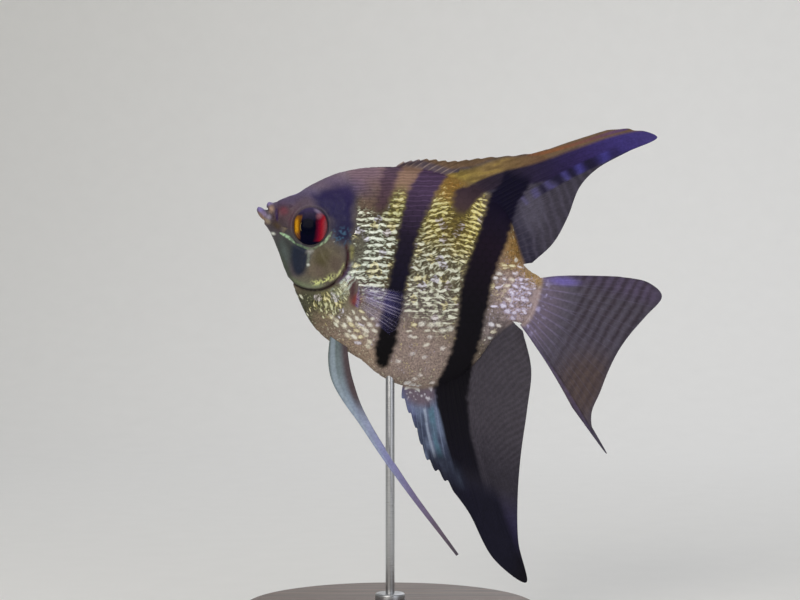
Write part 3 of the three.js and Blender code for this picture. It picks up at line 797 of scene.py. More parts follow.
# Lone painted highlights on single scales low on the side, and the size of their ovals.
paintedGlintSpots = {
    "under pectoral": ([(27.4, -18.2), (29.7, -18.8), (31.2, -19.1), (32, -20.4), (29.7, -21.7),
                        (27.9, -21.8), (33.5, -21.8), (33.4, -22.9), (23, -18.7), (24.6, -19.3),
                        (26.6, -20.0)],
                       (0.72, 0.42), -30, "#e4dfca"),
    "side": ([(47.7, -12.8), (49.3, -14), (50.9, -13.1), (46.4, -13.6),
              (44.1, -14)], (0.75, 0.5), 15, "#e8e6dc"),
    "low": ([(41.4, -24.2), (47, -21.4), (47.3, -25.9), (46.4, -27.1), (50.6, -18.2), (46.9, -16.4),
             (44.1, -21.5), (42.4, -17.6), (50.7, -26.8)], (0.55, 0.38), 10, "#d9d3cf"),
    "fin root": ([(46.2, -29.0), (45.0, -28.6), (47.5, -28.9)], (0.9, 0.4), 30, "#dcdbdc"),
}


def scalePlaces():
    rng = np.random.default_rng(coat["seed"])
    ia, ib = np.meshgrid(np.arange(-30, 60), np.arange(-50, 50))
    a = (ia + 0.5 * (ib % 2)).ravel() * coat["pitch"]
    b = ib.ravel() * coat["row"]
    a = a + rng.uniform(-0.16, 0.16, len(a))
    b = b + 0.2 * waver(a, b, 6, 3) + rng.uniform(-0.07, 0.07, len(a))
    x, high = a * turnCos - b * turnSin, a * turnSin + b * turnCos
    s = high - middleAt(x)
    run = np.clip(x, fish["snout"], fish["length"])
    top, bottom, _, _ = section(run, body["coatDepth"])
    roof, floor = runOf(run, top), runOf(run, bottom)
    z = skinPoint(x, s, -1)[:, 2]
    ring = gillRing(x, z)[0]
    keep = (x > 10) & (x < 67.6) & (s < roof - 0.75) & (s > floor + 0.75)
    keep &= (headShare(x - 0.5, z) < 0.5) & ((ring > 10.3) | (z > -1.2))
    x, s, z = x[keep], s[keep], z[keep]
    # rows lie level in the pose, tip down over the breast and follow the body at the tail root
    turn = fish["pitch"] - math.radians(58) * dab(x, z, (20, -16), (8, 7), 0, 0.5)
    turn = turn - math.radians(30) * dab(x, z, (29, -18.5), (5, 5), 0, 0.6)
    turn = turn - fish["pitch"] * rise(x, 58, 64)
    size = 1 - 0.12 * rise(x, 57, 64) - 0.16 * dab(x, z, (20, -17), (7, 7), 0, 0.5)
    return x, s, z, turn, size, rng


def newPlates(name, count):
    # one thin plate, rounded at its free edge, and its copies
    piece = newGrid(name, *coat["cells"])
    flat = coords(piece)
    share, across = ((flat[:, 0] + 1) / 2) ** 0.8, flat[:, 1]
    free = coat["free"] - 0.95 * across**2
    down = coat["root"] + (free - coat["root"]) * share
    broad = 0.78 + 0.22 * np.sin(math.pi * np.minimum(share * 1.15, 1))
    setCoords(piece, np.stack([down, coat["half"] * across * broad, np.zeros(len(down))], 1))
    applyModifier(piece, "SOLIDIFY", "Plate", thickness=coat["thick"], offset=0)
    each = len(piece.data.vertices)
    applyModifier(piece, "ARRAY", "Rows", count=count, use_relative_offset=False,
                  use_constant_offset=True, constant_offset_displace=(0, 0, 0))
    return piece, coords(piece)[:each]


def lieDown(plate, places, side):
    # every plate on the flank, lifted towards its free edge and less so on the back and the belly
    x, s, z, turn, size = (value[:, None] for value in places)
    down, across, through = plate.T
    ahead, aside = down * size, -side * across * size
    px = np.clip(x + ahead * np.cos(turn) - aside * np.sin(turn), fish["snout"] + 0.3, fish["length"] - 0.7)
    high = s + middleAt(x) + ahead * np.sin(turn) + aside * np.cos(turn)
    top, bottom, _, _ = section(px, body["coatDepth"])
    ps = np.clip(high - middleAt(px), runOf(px, bottom) + 0.12, runOf(px, top) - 0.12)
    step = 0.05
    alongX = skinPoint(px + step, ps, side) - skinPoint(px - step, ps, side)
    alongS = skinPoint(px, ps + step, side) - skinPoint(px, ps - step, side)
    out = -side * np.cross(alongX, alongS)
    out /= np.maximum(np.linalg.norm(out, axis=-1, keepdims=True), 1e-9)
    calm = 1 - 0.5 * rise(z, 9, 15) - 0.6 * rise(-z, 11, 18)
    slope = coat["clearance"] + coat["lift"] * (down - coat["root"]) / coat["span"]
    height = (slope - coat["arch"] * (across / coat["half"]) ** 2) * calm + through
    return (skinPoint(px, ps, side) + out * height[..., None]).reshape(-1, 3)


def layCoat(name, side):
    *places, rng = scalePlaces()
    x, s, z, turn, size = places
    count = len(x)
    piece, plate = newPlates(name, count)
    points = lieDown(plate, places, side)
    px, pz = points[:, 0], points[:, 2]
    owner = np.repeat(np.arange(count), len(plate))  # each point's scale
    down, across, _ = np.tile(plate, (count, 1)).T
    # markings of the skin below, a little different from scale to scale
    tint = bodyColour(px, pz) * rng.uniform(0.93, 1.07, count)[owner, None]
    # lone painted highlights, painted into the tint
    for spots, radii, lean, colour in paintedGlintSpots.values():
        for spot in spots:
            tint = mixTo(tint, colour, 0.85 * dab(px, pz, spot, radii, lean, 0.4))
    clear = clearOfBars(px, pz)
    # how deep the painted shade between the highlight strokes is, kept in the tint's alpha
    shadow = 0.3 * rise(zoned(px, pz, shineCover) * clear, 0.05, 0.35)
    setAttribute(piece, "tint", np.concatenate([tint, shadow[:, None]], 1))
    # silver: the colour and strength of the painted highlight strokes, how they run, and where they show
    silver = shineTint(x, z)
    silver = mixTo(silver, "#f3e9b4", (rng.uniform(0, 1, count) < 0.2) * 0.6 * (1 - rise(x, 60, 64)))
    silver = mixTo(silver, "#d6d0ea", (rng.uniform(0, 1, count) < 0.14) * 0.6)
    strength = clear * rng.uniform(0.8, 1, count)[owner]
    setAttribute(piece, "shine", np.concatenate([silver[owner], strength[:, None]], 1))
    setAttribute(piece, "flow", flow(px, pz), "FLOAT_VECTOR")
    setAttribute(piece, "limits", strokeLimits(px, pz), "FLOAT_VECTOR")
    # single painted highlight ovals on some scales; on the others the oval is set far off
    hidden = 9.0 * (rng.uniform(0, 1, count) > zoned(x, z, ovalCover))
    breast = dab(x, z, (21, -15), (6, 6), 0, 0.4)
    underPectoral = dab(x, z, (30, -18), (6, 5), 0, 0.4)
    long = rng.uniform(0.55, 1.1, count) * (1 - 0.2 * breast)
    wider = 1 + 0.35 * rise(x, 56, 60) + 0.2 * underPectoral - 0.3 * breast
    thick = rng.uniform(0.22, 0.5, count) * wider
    bend = rng.uniform(-0.25, 0.25, count)
    shift = rng.uniform(-0.3, 0.3, count)
    oval = np.stack([(down - 0.1 - shift[owner]) / long[owner],
                     (-side * across - shift[owner] - bend[owner] * down) / thick[owner], hidden[owner]], 1)
    setAttribute(piece, "oval", oval, "FLOAT_VECTOR")
    # plates' edges, fine lines over the back, and how mottled the dull parts are
    edged = 1 - 0.75 * rise(-z, 9, 16) - 0.6 * rise(z, 11, 16)
    setAttribute(piece, "plate", np.stack([down, across, edged[owner]], 1), "FLOAT_VECTOR")
    lined = dab(px, pz, (21.5, 16), (7, 7), 20, 0.5) + 0.7 * dab(px, pz, (32, 18), (7, 4), 0, 0.6)
    backLines = barShare(px, pz, bars["middle"]) * rise(pz, 2, 9)
    mottled = 0.4 + 0.3 * rise(-pz, 8, 16) + 0.3 * rise(px, 57, 60) - 0.35 * rise(pz, 7, 12) * (px < 34)
    setAttribute(piece, "lines", np.stack([lined, backLines, mottled * clear], 1), "FLOAT_VECTOR")
    # in the bake map each scale is one small patch at its root's place
    corner = loopVertices(piece)
    root = flankMap(x + coat["root"] * size * np.cos(turn), s + coat["root"] * size * np.sin(turn), side)
    spread = np.stack([down, across], 1) * coat["uvSpan"] / coat["span"]
    writeUv(piece, "OFBake", (root[owner] + spread)[corner])
    setCoords(piece, toRow(points))
    finishPiece(piece, "scales", crease=math.radians(50))
    print(name + ":", count, "scales")
    return piece


leftCoat = layCoat("scales_left", -1)
rightCoat = layCoat("scales_right", 1)


# Eyes: a clear dome over a dark pupil, amber before it and red behind.
eye = {
    "centre": (12.1, 4.9, 0.4), "radii": (4.15, 4.55), "bulge": 1.0, "depth": 2.3, "turn": 0.17,
    "pupil": (-0.5, -0.2, 2.0),  # place and radius
    # heights, and how far from the eye's middle each colour's inner edge is
    "amber edge": ([-3.2, -1.6, 0, 1.2, 2.8], [-2.35, -2.4, -2.3, -2.1, -1.8]),
    "red edge": ([-3.6, -3, -2, 0, 1, 2, 2.8], [0.7, 1.0, 1.2, 1.3, 1.35, 1.6, 2.0]),
}


def eyeColour(h, k):
    # h and k are level and upright in the pose
    # dark iris, lighter and more lavender towards the top: partly its own colour, partly painted reflection
    # of light from above
    c = ramp(("#04041a", "#04051c", "#090822", "#17132e", "#28213a", "#3c3352"), (k + 1) / 4.8)
    front, rear = np.interp(k, *eye["amber edge"]), np.interp(k, *eye["red edge"])
    rim = np.hypot(h / eye["radii"][0], k / eye["radii"][1])
    # amber: darker at both sides of one bright upright line, brown at both ends
    gold = ramp(("#4e3016", "#c08616", "#cc9324", "#96640d", "#5a3a0e"), (h + 3.95) / 1.5)
    gold = mixTo(gold, "#5f392c", rise(-k, 0.9, 2.2) * 0.85)
    gold = mixTo(gold, "#744a20", rise(k, 1.0, 2.2) * 0.8)
    rings = 0.5 + 0.5 * np.sin(2 * math.pi * rim * 4.3 / 0.5)
    gold = mixTo(gold, "#3c2410", rings * (0.1 + 0.4 * rise(-k, 0.8, 2.0)))
    c = mixTo(c, gold, (1 - rise(h - front, -0.2, 0.15)) * between(k, -3.5, -2.4, 2.2, 3.0))
    # red: wine at its front edge, clear red, then greyish rose at the rim
    ruby = ramp(("#2a0618", "#4a0822", "#750c27", "#8c1624", "#99303a", "#7d4248"), (h - rear) / 2.4)
    c = mixTo(c, ruby, rise(h - rear, -0.25, 0.2) * between(k, -3.9, -3.4, 2.6, 3.1))
    ahead, above, size = eye["pupil"]
    c = mixTo(c, "#020416", (1 - rise(np.hypot(h - ahead, k - above), size - 0.2, size + 0.2)) * 0.9)
    # painted highlights on the cornea: pink and lavender
    c = mixTo(c, "#8f5c6a", dab(h, k, (2.3, 2.6), (0.6, 0.8), -35, 0.9) * 0.8)
    c = mixTo(c, "#857790", dab(h, k, (1.7, 3.6), (0.8, 0.4), -30, 0.8) * 0.8)
    # a thin painted reflection along the pupil's front edge
    away, place = nearLine(h, k, [(-2.05, 0.9), (-2.3, 0.3), (-2.33, -0.5), (-2.1, -1.15)])
    gleam = (1 - rise(away, 0.03, 0.1)) * np.sin(math.pi * np.clip(place, 0, 1)) ** 0.5
    c = mixTo(c, "#c9a860", gleam * 0.5)
    edge = rise(rim, 0.93, 0.99)
    c = mixTo(c, "#140f1a", edge * np.maximum(rise(h, 0.5, 2.5), rise(-k, 1.5, 3)) * 0.7)
    # the rim's top lighter: painted highlight
    return mixTo(c, "#544a5e", edge * rise(k, 2.0, 3.5) * 0.7)


def makeEye(name, node, side):
    made = ball(name, 128, 112)
    p = coords(made)
    out = np.hypot(p[:, 0], p[:, 1])
    # the right eye is the left one seen in a mirror
    h, k = -side * p[:, 0] * eye["radii"][0], p[:, 1] * eye["radii"][1]
    pupilLens = 0.1 * np.exp(-((np.hypot(h + 0.4, k) / 1.8) ** 4))
    dome = eye["bulge"] * (1 - out**2.3) ** 0.62 + pupilLens
    w = np.where(p[:, 2] >= 0, dome, -eye["depth"] * np.sqrt(np.clip(1 - out**2, 0, 1)))
    setAttribute(made, "tint", eyeColour(h, k))
    ahead, high = h * turnCos - k * turnSin, h * turnSin + k * turnCos
    c, s = math.cos(eye["turn"]), math.sin(eye["turn"])
    x, y, z = eye["centre"]
    setCoords(made, toRow(np.stack([x + ahead * c - w * s, side * (y + ahead * s + w * c), z + high], 1)))
    return finishPiece(made, "eye", node)


leftEye = makeEye("leftEye", "eye_left", -1)
rightEye = makeEye("rightEye", "eye_right", 1)


# Fins: membranes ruled by their rays.
def rayCurve(points, share):
    # the CAD's curve through the rays' ends, at shares from 0 to 1
    p = np.array(points, float)
    p = np.concatenate([[2 * p[0] - p[1]], p, [2 * p[-1] - p[-2]]])
    place = np.clip(share, 0, 1) * (len(points) - 1)
    i = np.minimum(place.astype(int), len(points) - 2)
    t = (place - i)[:, None]
    a, b, c, d = p[i], p[i + 1], p[i + 2], p[i + 3]
    ab, bc, cd = (np.sqrt(np.linalg.norm(v, axis=1))[:, None] for v in (b - a, c - b, d - c))
    t1 = ((b - a) / ab - (c - a) / (ab + bc) + (c - b) / bc) * bc
    t2 = ((c - b) / bc - (d - b) / (bc + cd) + (d - c) / cd) * bc
    return b + t1 * t + (3 * (c - b) - 2 * t1 - t2) * t**2 + (2 * (b - c) + t1 + t2) * t**3


def rayNumber(fin, p):
    # a ray stands at every whole number; the stiff front rays stand closer together
    even = p * fin["spines"] + fin.get("crowd", 0) * np.minimum(p, fin.get("spiny", 0))
    return even + fin.get("uneven", 0) * np.sin(23 * p)


def finPoints(fin, p, t):
    roots, tips = rayCurve(fin["roots"], p), rayCurve(fin["tips"], p)
    ray = tips - roots
    length = np.linalg.norm(ray, axis=1)
    notch = fin.get("notch", 0.8) / length * np.sin(math.pi * rayNumber(fin, p)) ** 2
    reach = t * np.where(p < fin.get("spiny", 0), 1 - notch, 1)
    side = np.stack([-ray[:, 2], 0 * t, ray[:, 0]], 1) * (fin.get("bow", 0) * 4 * t * (1 - t))[:, None]
    points = roots + ray * reach[:, None] + side
    if "bend" in fin:
        points[:, 1] += fin["bend"](points, t)
    return points


def finGrid(name, fin):
    piece = newGrid(name, *fin["cells"])
    flat = coords(piece)
    p, t = (flat[:, 0] + 1) / 2, (flat[:, 1] + 1) / 2
    applyModifier(piece, "SOLIDIFY", "Membrane", thickness=0.1, offset=0)
    both = coords(piece)
    count = len(flat)
    leftFirst = both[0, 2] > both[count, 2]
    middle = finPoints(fin, p, t)
    step = 1e-3
    p0, p1 = np.maximum(p - step, 0), np.minimum(p + step, 1)
    alongP = finPoints(fin, p1, t) - finPoints(fin, p0, t)
    alongT = finPoints(fin, p, np.minimum(t + step, 1)) - finPoints(fin, p, np.maximum(t - step, 0))
    out = np.cross(alongP, alongT)
    out /= np.maximum(np.linalg.norm(out, axis=1, keepdims=True), 1e-9)
    # a soft ray forks once on its way out
    gap = np.linalg.norm(alongP, axis=1) / np.maximum(rayNumber(fin, p1) - rayNumber(fin, p0), 1e-9)
    off = np.abs(rayNumber(fin, p) - np.round(rayNumber(fin, p)))
    spiny = fin.get("spiny", 0)
    fork = 0.25 * rise(p, spiny - 0.02, spiny + 0.04) * rise(t, 0.22, 0.6)
    width = fin["ray"] * (1.25 - 0.6 * t) * (1 - 0.35 * rise(fork, 0, 0.2))
    ray = bell(np.abs(off - fork) * gap, 0, width)
    reach = np.linalg.norm(middle - finPoints(fin, p, 0 * t), axis=1)
    half = fin["thin"] + (fin["thick"] - fin["thin"]) * ray * (1 - 0.45 * t)
    half += fin["root"] * bell(reach, 0, fin["fillet"])
    faces = [middle + out * half[:, None], middle - out * half[:, None]]
    points = np.concatenate(faces if leftFirst else faces[::-1])
    tint = fin["paint"](middle[:, 0], middle[:, 2], p, t, ray, reach)
    setAttribute(piece, "tint", np.concatenate([tint, tint]))
    if "clear" in fin:
        clear = fin["clear"](p, reach, ray)
        setAttribute(piece, "cover", np.concatenate([clear, clear]), "FLOAT")
    return piece, points


def makeFin(name, fin, node, slotName, mirror=False):
    piece, points = finGrid(name, fin)
    if mirror:
        points = points * np.array([1, -1, 1])
        if "trail" in fin:
            angle, pivot = fin["trail"]
            points = tipped(points - np.array(pivot), angle) + np.array(pivot)
        # a mirrored mesh has its faces turned to point outwards again
        activate(piece)
        bpy.ops.object.mode_set(mode="EDIT")
        bpy.ops.mesh.select_all(action="SELECT")
        bpy.ops.mesh.flip_normals()
        bpy.ops.object.mode_set(mode="OBJECT")
    setCoords(piece, toRow(points))
    return finishPiece(piece, slotName, node, crease=math.radians(60))


def bandWave(x, z, reach, size, seed, wander=1.6):
    # wavy pale bands that cross the rays
    return 0.5 + 0.5 * np.sin(2 * math.pi * reach / size + wander * waver(x, z, 5, seed)
                              + 0.6 * waver(x, z, 1.3, seed + 1))


def flesh(c, x, z, reach, low, high):
    # the body's own colours, with its painted highlights, run a little way out on the fin's root
    silver = rise(np.sin(2 * math.pi * level(x, z)[1] / 1.5 + 2 * waver(x, z, 1.6, 72)), 0.1, 0.8)
    silver = silver * rise(waver(x, z, 1.1, 73), -0.5, 0.3) * zoned(x, z, shineCover) * clearOfBars(x, z)
    colour = mixTo(bodyColour(x, z), shineTint(x, z), silver)
    return mixTo(c, colour, 1 - rise(reach, low, high))


# Courses of the dorsal fin's markings.
dorsalLines = {
    "olive": [(39.4, 20.2), (41.2, 21.5), (44.9, 23.1), (48.3, 25.6), (51.7, 28.1), (55.4, 29.7),
              (60, 31.9)],
    "dark": [(44.4, 17.5), (46.0, 19.8), (49.2, 22.4), (53.5, 25.1), (60, 28.6), (65, 31.8), (70, 35.6),
             (75, 39.6), (81, 43.6), (86, 45.4)],
    "edge": [(57, 32.3), (60.5, 33.9), (67.8, 38.7), (73, 42.3), (77.5, 45.2)],
    "blue": [(58.8, 20.9), (60.3, 23.1), (63.5, 26.6), (66.7, 29.9), (70, 33.1), (75, 37.6), (80, 42)],
    "between spines": ([40, 44.9, 48.3, 51.7, 57], [23.0, 25.2, 27.9, 30.2, 32.2]),
}


def paintDorsal(x, z, p, t, ray, reach):
    c = np.tile(linear("#3f3b46"), (len(x), 1))
    c = mixTo(c, "#322f3f", 1 - rise(reach, 3, 8))
    c = mixTo(c, "#575264", bandWave(x, z, reach, 2.3, 31) ** 2 * 0.45 * rise(reach, 1.5, 4))
    c = mixTo(c, "#5a5666", dab(x, z, (61.5, 19.5), (3.0, 4.5), 20, 0.6) * 0.6)
    c = mixTo(c, "#544f60", ray * 0.3)
    front = (1 - rise(x, 38, 44)) * (p < 0.5)
    c = mixTo(c, "#62565e", front)
    c = mixTo(c, "#ad9a90", front * ray * 0.85)
    # olive gold along the front, streaked darker and lighter
    away, place = nearLine(x, z, dorsalLines["olive"])
    shade = ramp(("#98803f", "#8e7c40", "#8c754a", "#7c6444", "#664d3c"), place)
    c = mixTo(c, shade, 1 - rise(away, 1.0, np.where(x > 42, 2.6, 1.6)))
    streaky = np.clip(waver(x * 0.84 + z * 0.54, (z * 0.84 - x * 0.54) * 3.5, 2.2, 33) * 1.6, -1, 1)
    c = mixTo(c, "#57452a", (1 - rise(away, 1.0, 2.4)) * np.clip(streaky, 0, 1) * 0.5)
    light = (1 - rise(away, 0.8, 2.0)) * np.clip(-streaky, 0, 1) * (1 - rise(x, 46, 58))
    c = mixTo(c, "#a89048", light * 0.45)
    above = rise(z - np.interp(x, *dorsalLines["between spines"]), 0, 1) * (p < 0.5)
    c = mixTo(c, "#7a6040", above * 0.7)
    # dark wedge that runs up into the streamer, with brown and violet over it
    away, place = nearLine(x, z, dorsalLines["dark"])
    wide = np.interp(place, [0, 0.15, 0.4, 0.6, 0.8, 1], [1.4, 1.4, 2.4, 3.1, 2.6, 1.6])
    shade = ramp(("#382a34", "#302532", "#272031", "#282040", "#322759", "#3d3474", "#463d76"), place)
    c = mixTo(c, shade, 1 - rise(away, wide * 0.72, wide * 1.12))
    c = mixTo(c, "#0b0720", barShare(x, np.minimum(z, 24), bars["rear"]) * (1 - rise(z, 25.5, 28.5)))
    away, place = nearLine(x, z, dorsalLines["edge"])
    c = mixTo(c, ramp(("#75503a", "#85583a", "#6a4a50", "#5a4570"), place), 1 - rise(away, 0.15, 0.6))
    # blue blocks along the lower side of the streamer, dark between them
    away, place = nearLine(x, z, dorsalLines["blue"])
    near = 1 - rise(away, 0.8, 1.5)
    beat = 0.5 + 0.5 * np.cos(2 * math.pi * (place * 6.6 - 0.28) + 1.3 * waver(x, z, 3.5, 35))
    c = mixTo(c, "#221e38", near * (1 - beat) * between(place, 0.2, 0.3, 0.8, 0.95))
    blue = ramp(("#5d587a", "#504b7c", "#45418c", "#423e90"), place)
    c = mixTo(c, blue, near * beat**1.6 * (1 - rise(place, 0.75, 0.95)) * 0.85)
    c = flesh(c, x, z, reach, 0.3, np.where(x < 52, 2.4, 1.8))
    return c * (1 - 0.1 * waver(x, z, 0.8, 36))[:, None]


def paintAnal(x, z, p, t, ray, reach):
    c = np.tile(linear("#413d44"), (len(x), 1))
    c = mixTo(c, "#333039", rise(-z, 28, 44))
    c = mixTo(c, "#504b56", bandWave(x, z, reach, 1.35, 41, 2.6) ** 2 * 0.5 * (1 - rise(-z, 34, 46)))
    c = mixTo(c, "#4a4550", ray * 0.35)
    c = mixTo(c, "#332f48", rise(-z, 45, 53) * 0.9)
    c = mixTo(c, "#2b2645", rise(-z, 50, 58) * dab(x, z, (78, -56), (3, 7), 25, 0.6))
    # front: blue, teal and silver in uneven streaks along the rays
    front = 1 - rise(p, 0.34, 0.42)
    c = mixTo(c, "#3f465c", front)
    c = mixTo(c, "#5b5c88", dab(x, z, (46.5, -33.5), (2.2, 4), 25, 0.6) * 0.85)
    run, across = x * 0.55 - z * 0.83, x * 0.83 + z * 0.55
    uneven = np.clip(0.5 + 1.2 * waver(run, across * 3.2, 3.2, 44), 0, 1)
    c = mixTo(c, "#7d8ba8", uneven * front * rise(reach, 1, 4) * 0.6)
    c = mixTo(c, "#8593b0", ray * (1 - rise(p, 0.26, 0.36)) * rise(reach, 1, 4) * 0.5)
    teal = nearLine(x, z, [(52.2, -33), (54.6, -38), (57.6, -43)])[0]
    c = mixTo(c, "#456f80", (1 - rise(teal, 0.3, 1.1)) * 0.7 * uneven)
    pale = nearLine(x, z, [(50.8, -33.5), (53.2, -38.5), (56.4, -43.6)])[0]
    c = mixTo(c, "#a3aec4", (1 - rise(pale, 0.1, 0.5)) * (0.35 + 0.5 * uneven))
    c = mixTo(c, "#1f202f", dab(x, z, (58.8, -45.8), (4.6, 3.2), -45, 0.5) * 0.85)
    root = dab(x, z, (48.6, -29.9), (3.8, 3.2), 0, 0.4)
    c = mixTo(c, "#6b5f6c", root)
    # painted glints on the scaled root
    c = mixTo(c, "#c8c6d0", root * np.clip(waver(x, z, 0.6, 43) * 3 - 1.6, 0, 1))
    rim = streak(x, z, [(44.9, -30.2), (45.7, -29.3), (47.0, -29.0), (48.4, -29.7)], 0.5)
    c = mixTo(c, "#dfe2e2", rim * 0.9)
    bar = bars["rear"]
    c = mixTo(c, barColour(z, bar), barShare(x, z, bar) * (1 - rise(-z, 42, 50) * 0.6))
    c = mixTo(c, "#181726", rise(-z, 44, 50) * (1 - rise(p, 0.5, 0.62)))
    c = mixTo(c, "#141119", rise(x, 80, 85) * 0.9)
    c = flesh(c, x, z, reach, 0.3, 1.6)
    return c * (1 - 0.1 * waver(x, z, 0.9, 45))[:, None]


def paintCaudal(x, z, p, t, ray, reach):
    c = np.tile(linear("#544f5c"), (len(x), 1))
    c = mixTo(c, "#554846", dab(x, z, (86, -17), (7, 8), -20, 0.6))
    c = mixTo(c, "#564c63", rise(z, 4.5, 8.5))
    c = mixTo(c, "#6d6273", 1 - rise(reach, 2, 9))
    dark = bandWave(x, z, x - 0.25 * z, 2.3, 51, 1.1) ** 1.3 * between(reach, 8, 11, 25, 30)
    c = mixTo(c, "#352c34", dark * (0.8 - 0.35 * rise(-z, 2, 12)))
    c = mixTo(c, "#857b9e", ray * (1 - rise(reach, 4, 13)) * 0.5)
    c = mixTo(c, "#676177", ray * rise(reach, 8, 14) * 0.3)
    c = mixTo(c, "#7468b4", dab(x, z, (73.6, 5.6), (3.2, 0.9), 12, 0.8) * 0.8)
    c = mixTo(c, "#a8a0c8", (1 - rise(reach, 1.5, 5)) * np.clip(waver(x, z, 0.7, 54) * 2.4 - 1.0, 0, 1))
    c = flesh(c, x, z, reach, 0.2, 1.4)
    c = mixTo(c, "#5f5474", (1 - rise(np.abs(p - 0.97), 0, 0.06)) * 0.5)
    c = mixTo(c, "#403c48", rise(t, 0.93, 1) * 0.5)
    return c * (1 - 0.1 * waver(x, z, 0.8, 53))[:, None]


def paintPelvic(x, z, p, t, *_):
    hues = ("#5b6562", "#76838a", "#8896a8", "#939bb6", "#8587b2", "#776e90", "#6a5d6e", "#57505a")
    places = [25, 28.78, 33.4, 38.44, 46, 54.4, 61.96, 67]
    c = ramp(hues, np.interp(x, places, np.linspace(0, 1, len(hues))))
    c = mixTo(c, "#51464a", rise(t, 0.45, 0.85) * (1 - rise(p, 0.3, 0.5)))
    c = mixTo(c, "#a0aebc", (1 - rise(np.abs(t - 0.2), 0.05, 0.2)) * (1 - rise(p, 0.5, 0.8)) * 0.6)
    return c * (1 - 0.08 * waver(x, z, 0.7, 61))[:, None]


def paintPectoral(x, z, p, t, ray, reach):
    c = np.tile(linear("#7f77c4"), (len(x), 1))
    c = mixTo(c, "#c8bfe0", ray)
    root = ramp(("#45323a", "#5c3036", "#823a34", "#8a4238", "#6a3a40"), p)
    return mixTo(c, root, 1 - rise(reach, 0.6, 1.8))


def pectoralCover(p, reach, ray):
    # how solid the fin is: violet film, pale uneven rays that show best halfway out, a solid root
    shown = rise(p, 0, 0.14) * (1 - 0.55 * rise(p, 0.5, 0.75)) * between(reach, 0.8, 5.5, 7.5, 14.5)
    uneven = 0.55 + 0.6 * waver(p * 11, reach / 4, 1.0, 71)
    return np.clip((0.12 + 0.3 * ray * uneven) * shown + 0.9 * (1 - rise(reach, 0.6, 2.0)), 0.01, 1)


def upright(pairs):
    # in the plane between the flanks
    return [(x, 0.0, z) for x, z in pairs]


def bendBy(size, centre, step, axis=0):
    return lambda points, t: size * t * t * np.sin((points[:, axis] - centre) / step)


dorsal = {
    "cells": (440, 60), "spines": 29, "spiny": 0.46, "crowd": 6, "notch": 0.55, "bow": 0.035,
    "bend": bendBy(1.6, 52, 14),
    "ray": 0.15, "thin": 0.12, "thick": 0.22, "root": 0.35, "fillet": 1.0, "paint": paintDorsal,
    "roots": upright([(27, 19.7), (31, 20.4), (35.5, 20.8), (40, 20.8), (44.5, 20.6), (48.5, 19.8),
                      (51.2, 18.9), (53.4, 17.6), (55, 16.2), (56.6, 14.6), (58.6, 11.8), (60.4, 9),
                      (62.6, 6.2)]),
    "tips": upright([(28.6, 21.6), (33.6, 23.9), (40, 25.4), (47.5, 28.7), (58.5, 33.4), (76.5, 45),
                     (85.2, 45.4), (79.6, 40.2), (73.6, 34), (70.9, 28.6), (70.2, 20.6), (68.7, 13.8),
                     (65.2, 7.8)]),
}
anal = {
    "cells": (420, 66), "spines": 27, "spiny": 0.28, "crowd": -2, "notch": 1.3, "bow": -0.03,
    "bend": bendBy(-1.6, 50, 13),
    "ray": 0.17, "thin": 0.12, "thick": 0.24, "root": 0.35, "fillet": 1.0, "paint": paintAnal,
    "roots": upright([(44, -28.9), (46, -28.7), (48.2, -28.2), (50.4, -27.3), (52.6, -26.1), (54.6, -24.4),
                      (56.3, -22.4), (57.6, -20), (58.7, -17.4), (59.7, -14.6), (60.8, -11.8), (62.2, -9.2),
                      (64.2, -6.6)]),
    "tips": upright([(44.8, -32.4), (50, -38.4), (55.2, -45.2), (61, -48.8), (68, -53.8), (77.2, -62.9),
                     (86.2, -66), (81.6, -57.4), (78.2, -47), (75.9, -36.8), (74.2, -26.2), (72.3, -16.8),
                     (67.6, -8.6)]),
}
caudal = {
    "cells": (330, 80), "spines": 16, "bow": 0.02, "bend": bendBy(2.2, -16, 9, 2),
    "ray": 0.17, "thin": 0.12, "thick": 0.24, "root": 0.45, "fillet": 3.0, "paint": paintCaudal,
    "roots": upright([(67.9, 4.7), (68, 4.4), (68.1, 4), (68.2, 3.3), (68.4, 1.8), (68.5, 0), (68.5, -1.8),
                      (68.4, -3.4), (68.2, -4.8), (67.8, -6), (67.4, -6.7), (67, -7.1), (66.8, -7.4)]),
    "tips": upright([(80, 8.7), (87, 10.7), (93.4, 11.3), (97.4, 9.2), (95.2, 3.4), (93, -1.6),
                     (91.4, -6.4), (90.4, -11.6), (89.8, -17.4), (89.2, -22.4), (90.6, -26.4),
                     (95.4, -30.8), (84.4, -22.6)]),
}
pelvic = {
    "trail": (math.radians(0.9), (26, 0, -24)),  # the right one hangs a little lower: angle, pivot
    "cells": (220, 26), "spines": 3, "ray": 0.3, "thin": 0.14, "thick": 0.16, "root": 0.24, "fillet": 1.2,
    "paint": paintPelvic,
    "roots": [(24, -1.2, -23.4), (25.2, -2.2, -28.7), (27.3, -3.2, -32.9), (31, -4.2, -36.6),
              (36.4, -5.1, -40.7), (44.2, -6.2, -47), (54, -7.1, -54.3), (62.6, -7.7, -60.3),
              (67.8, -8, -63.9)],
    "tips": [(28.6, -1.6, -24.6), (31, -2.6, -29.6), (33.2, -3.5, -33.1), (36, -4.3, -36.9),
             (40.2, -5.2, -41.2), (46.8, -6.3, -46.9), (55.2, -7.1, -53.7), (63.2, -7.7, -59.6),
             (68.2, -8, -63.4)],
}
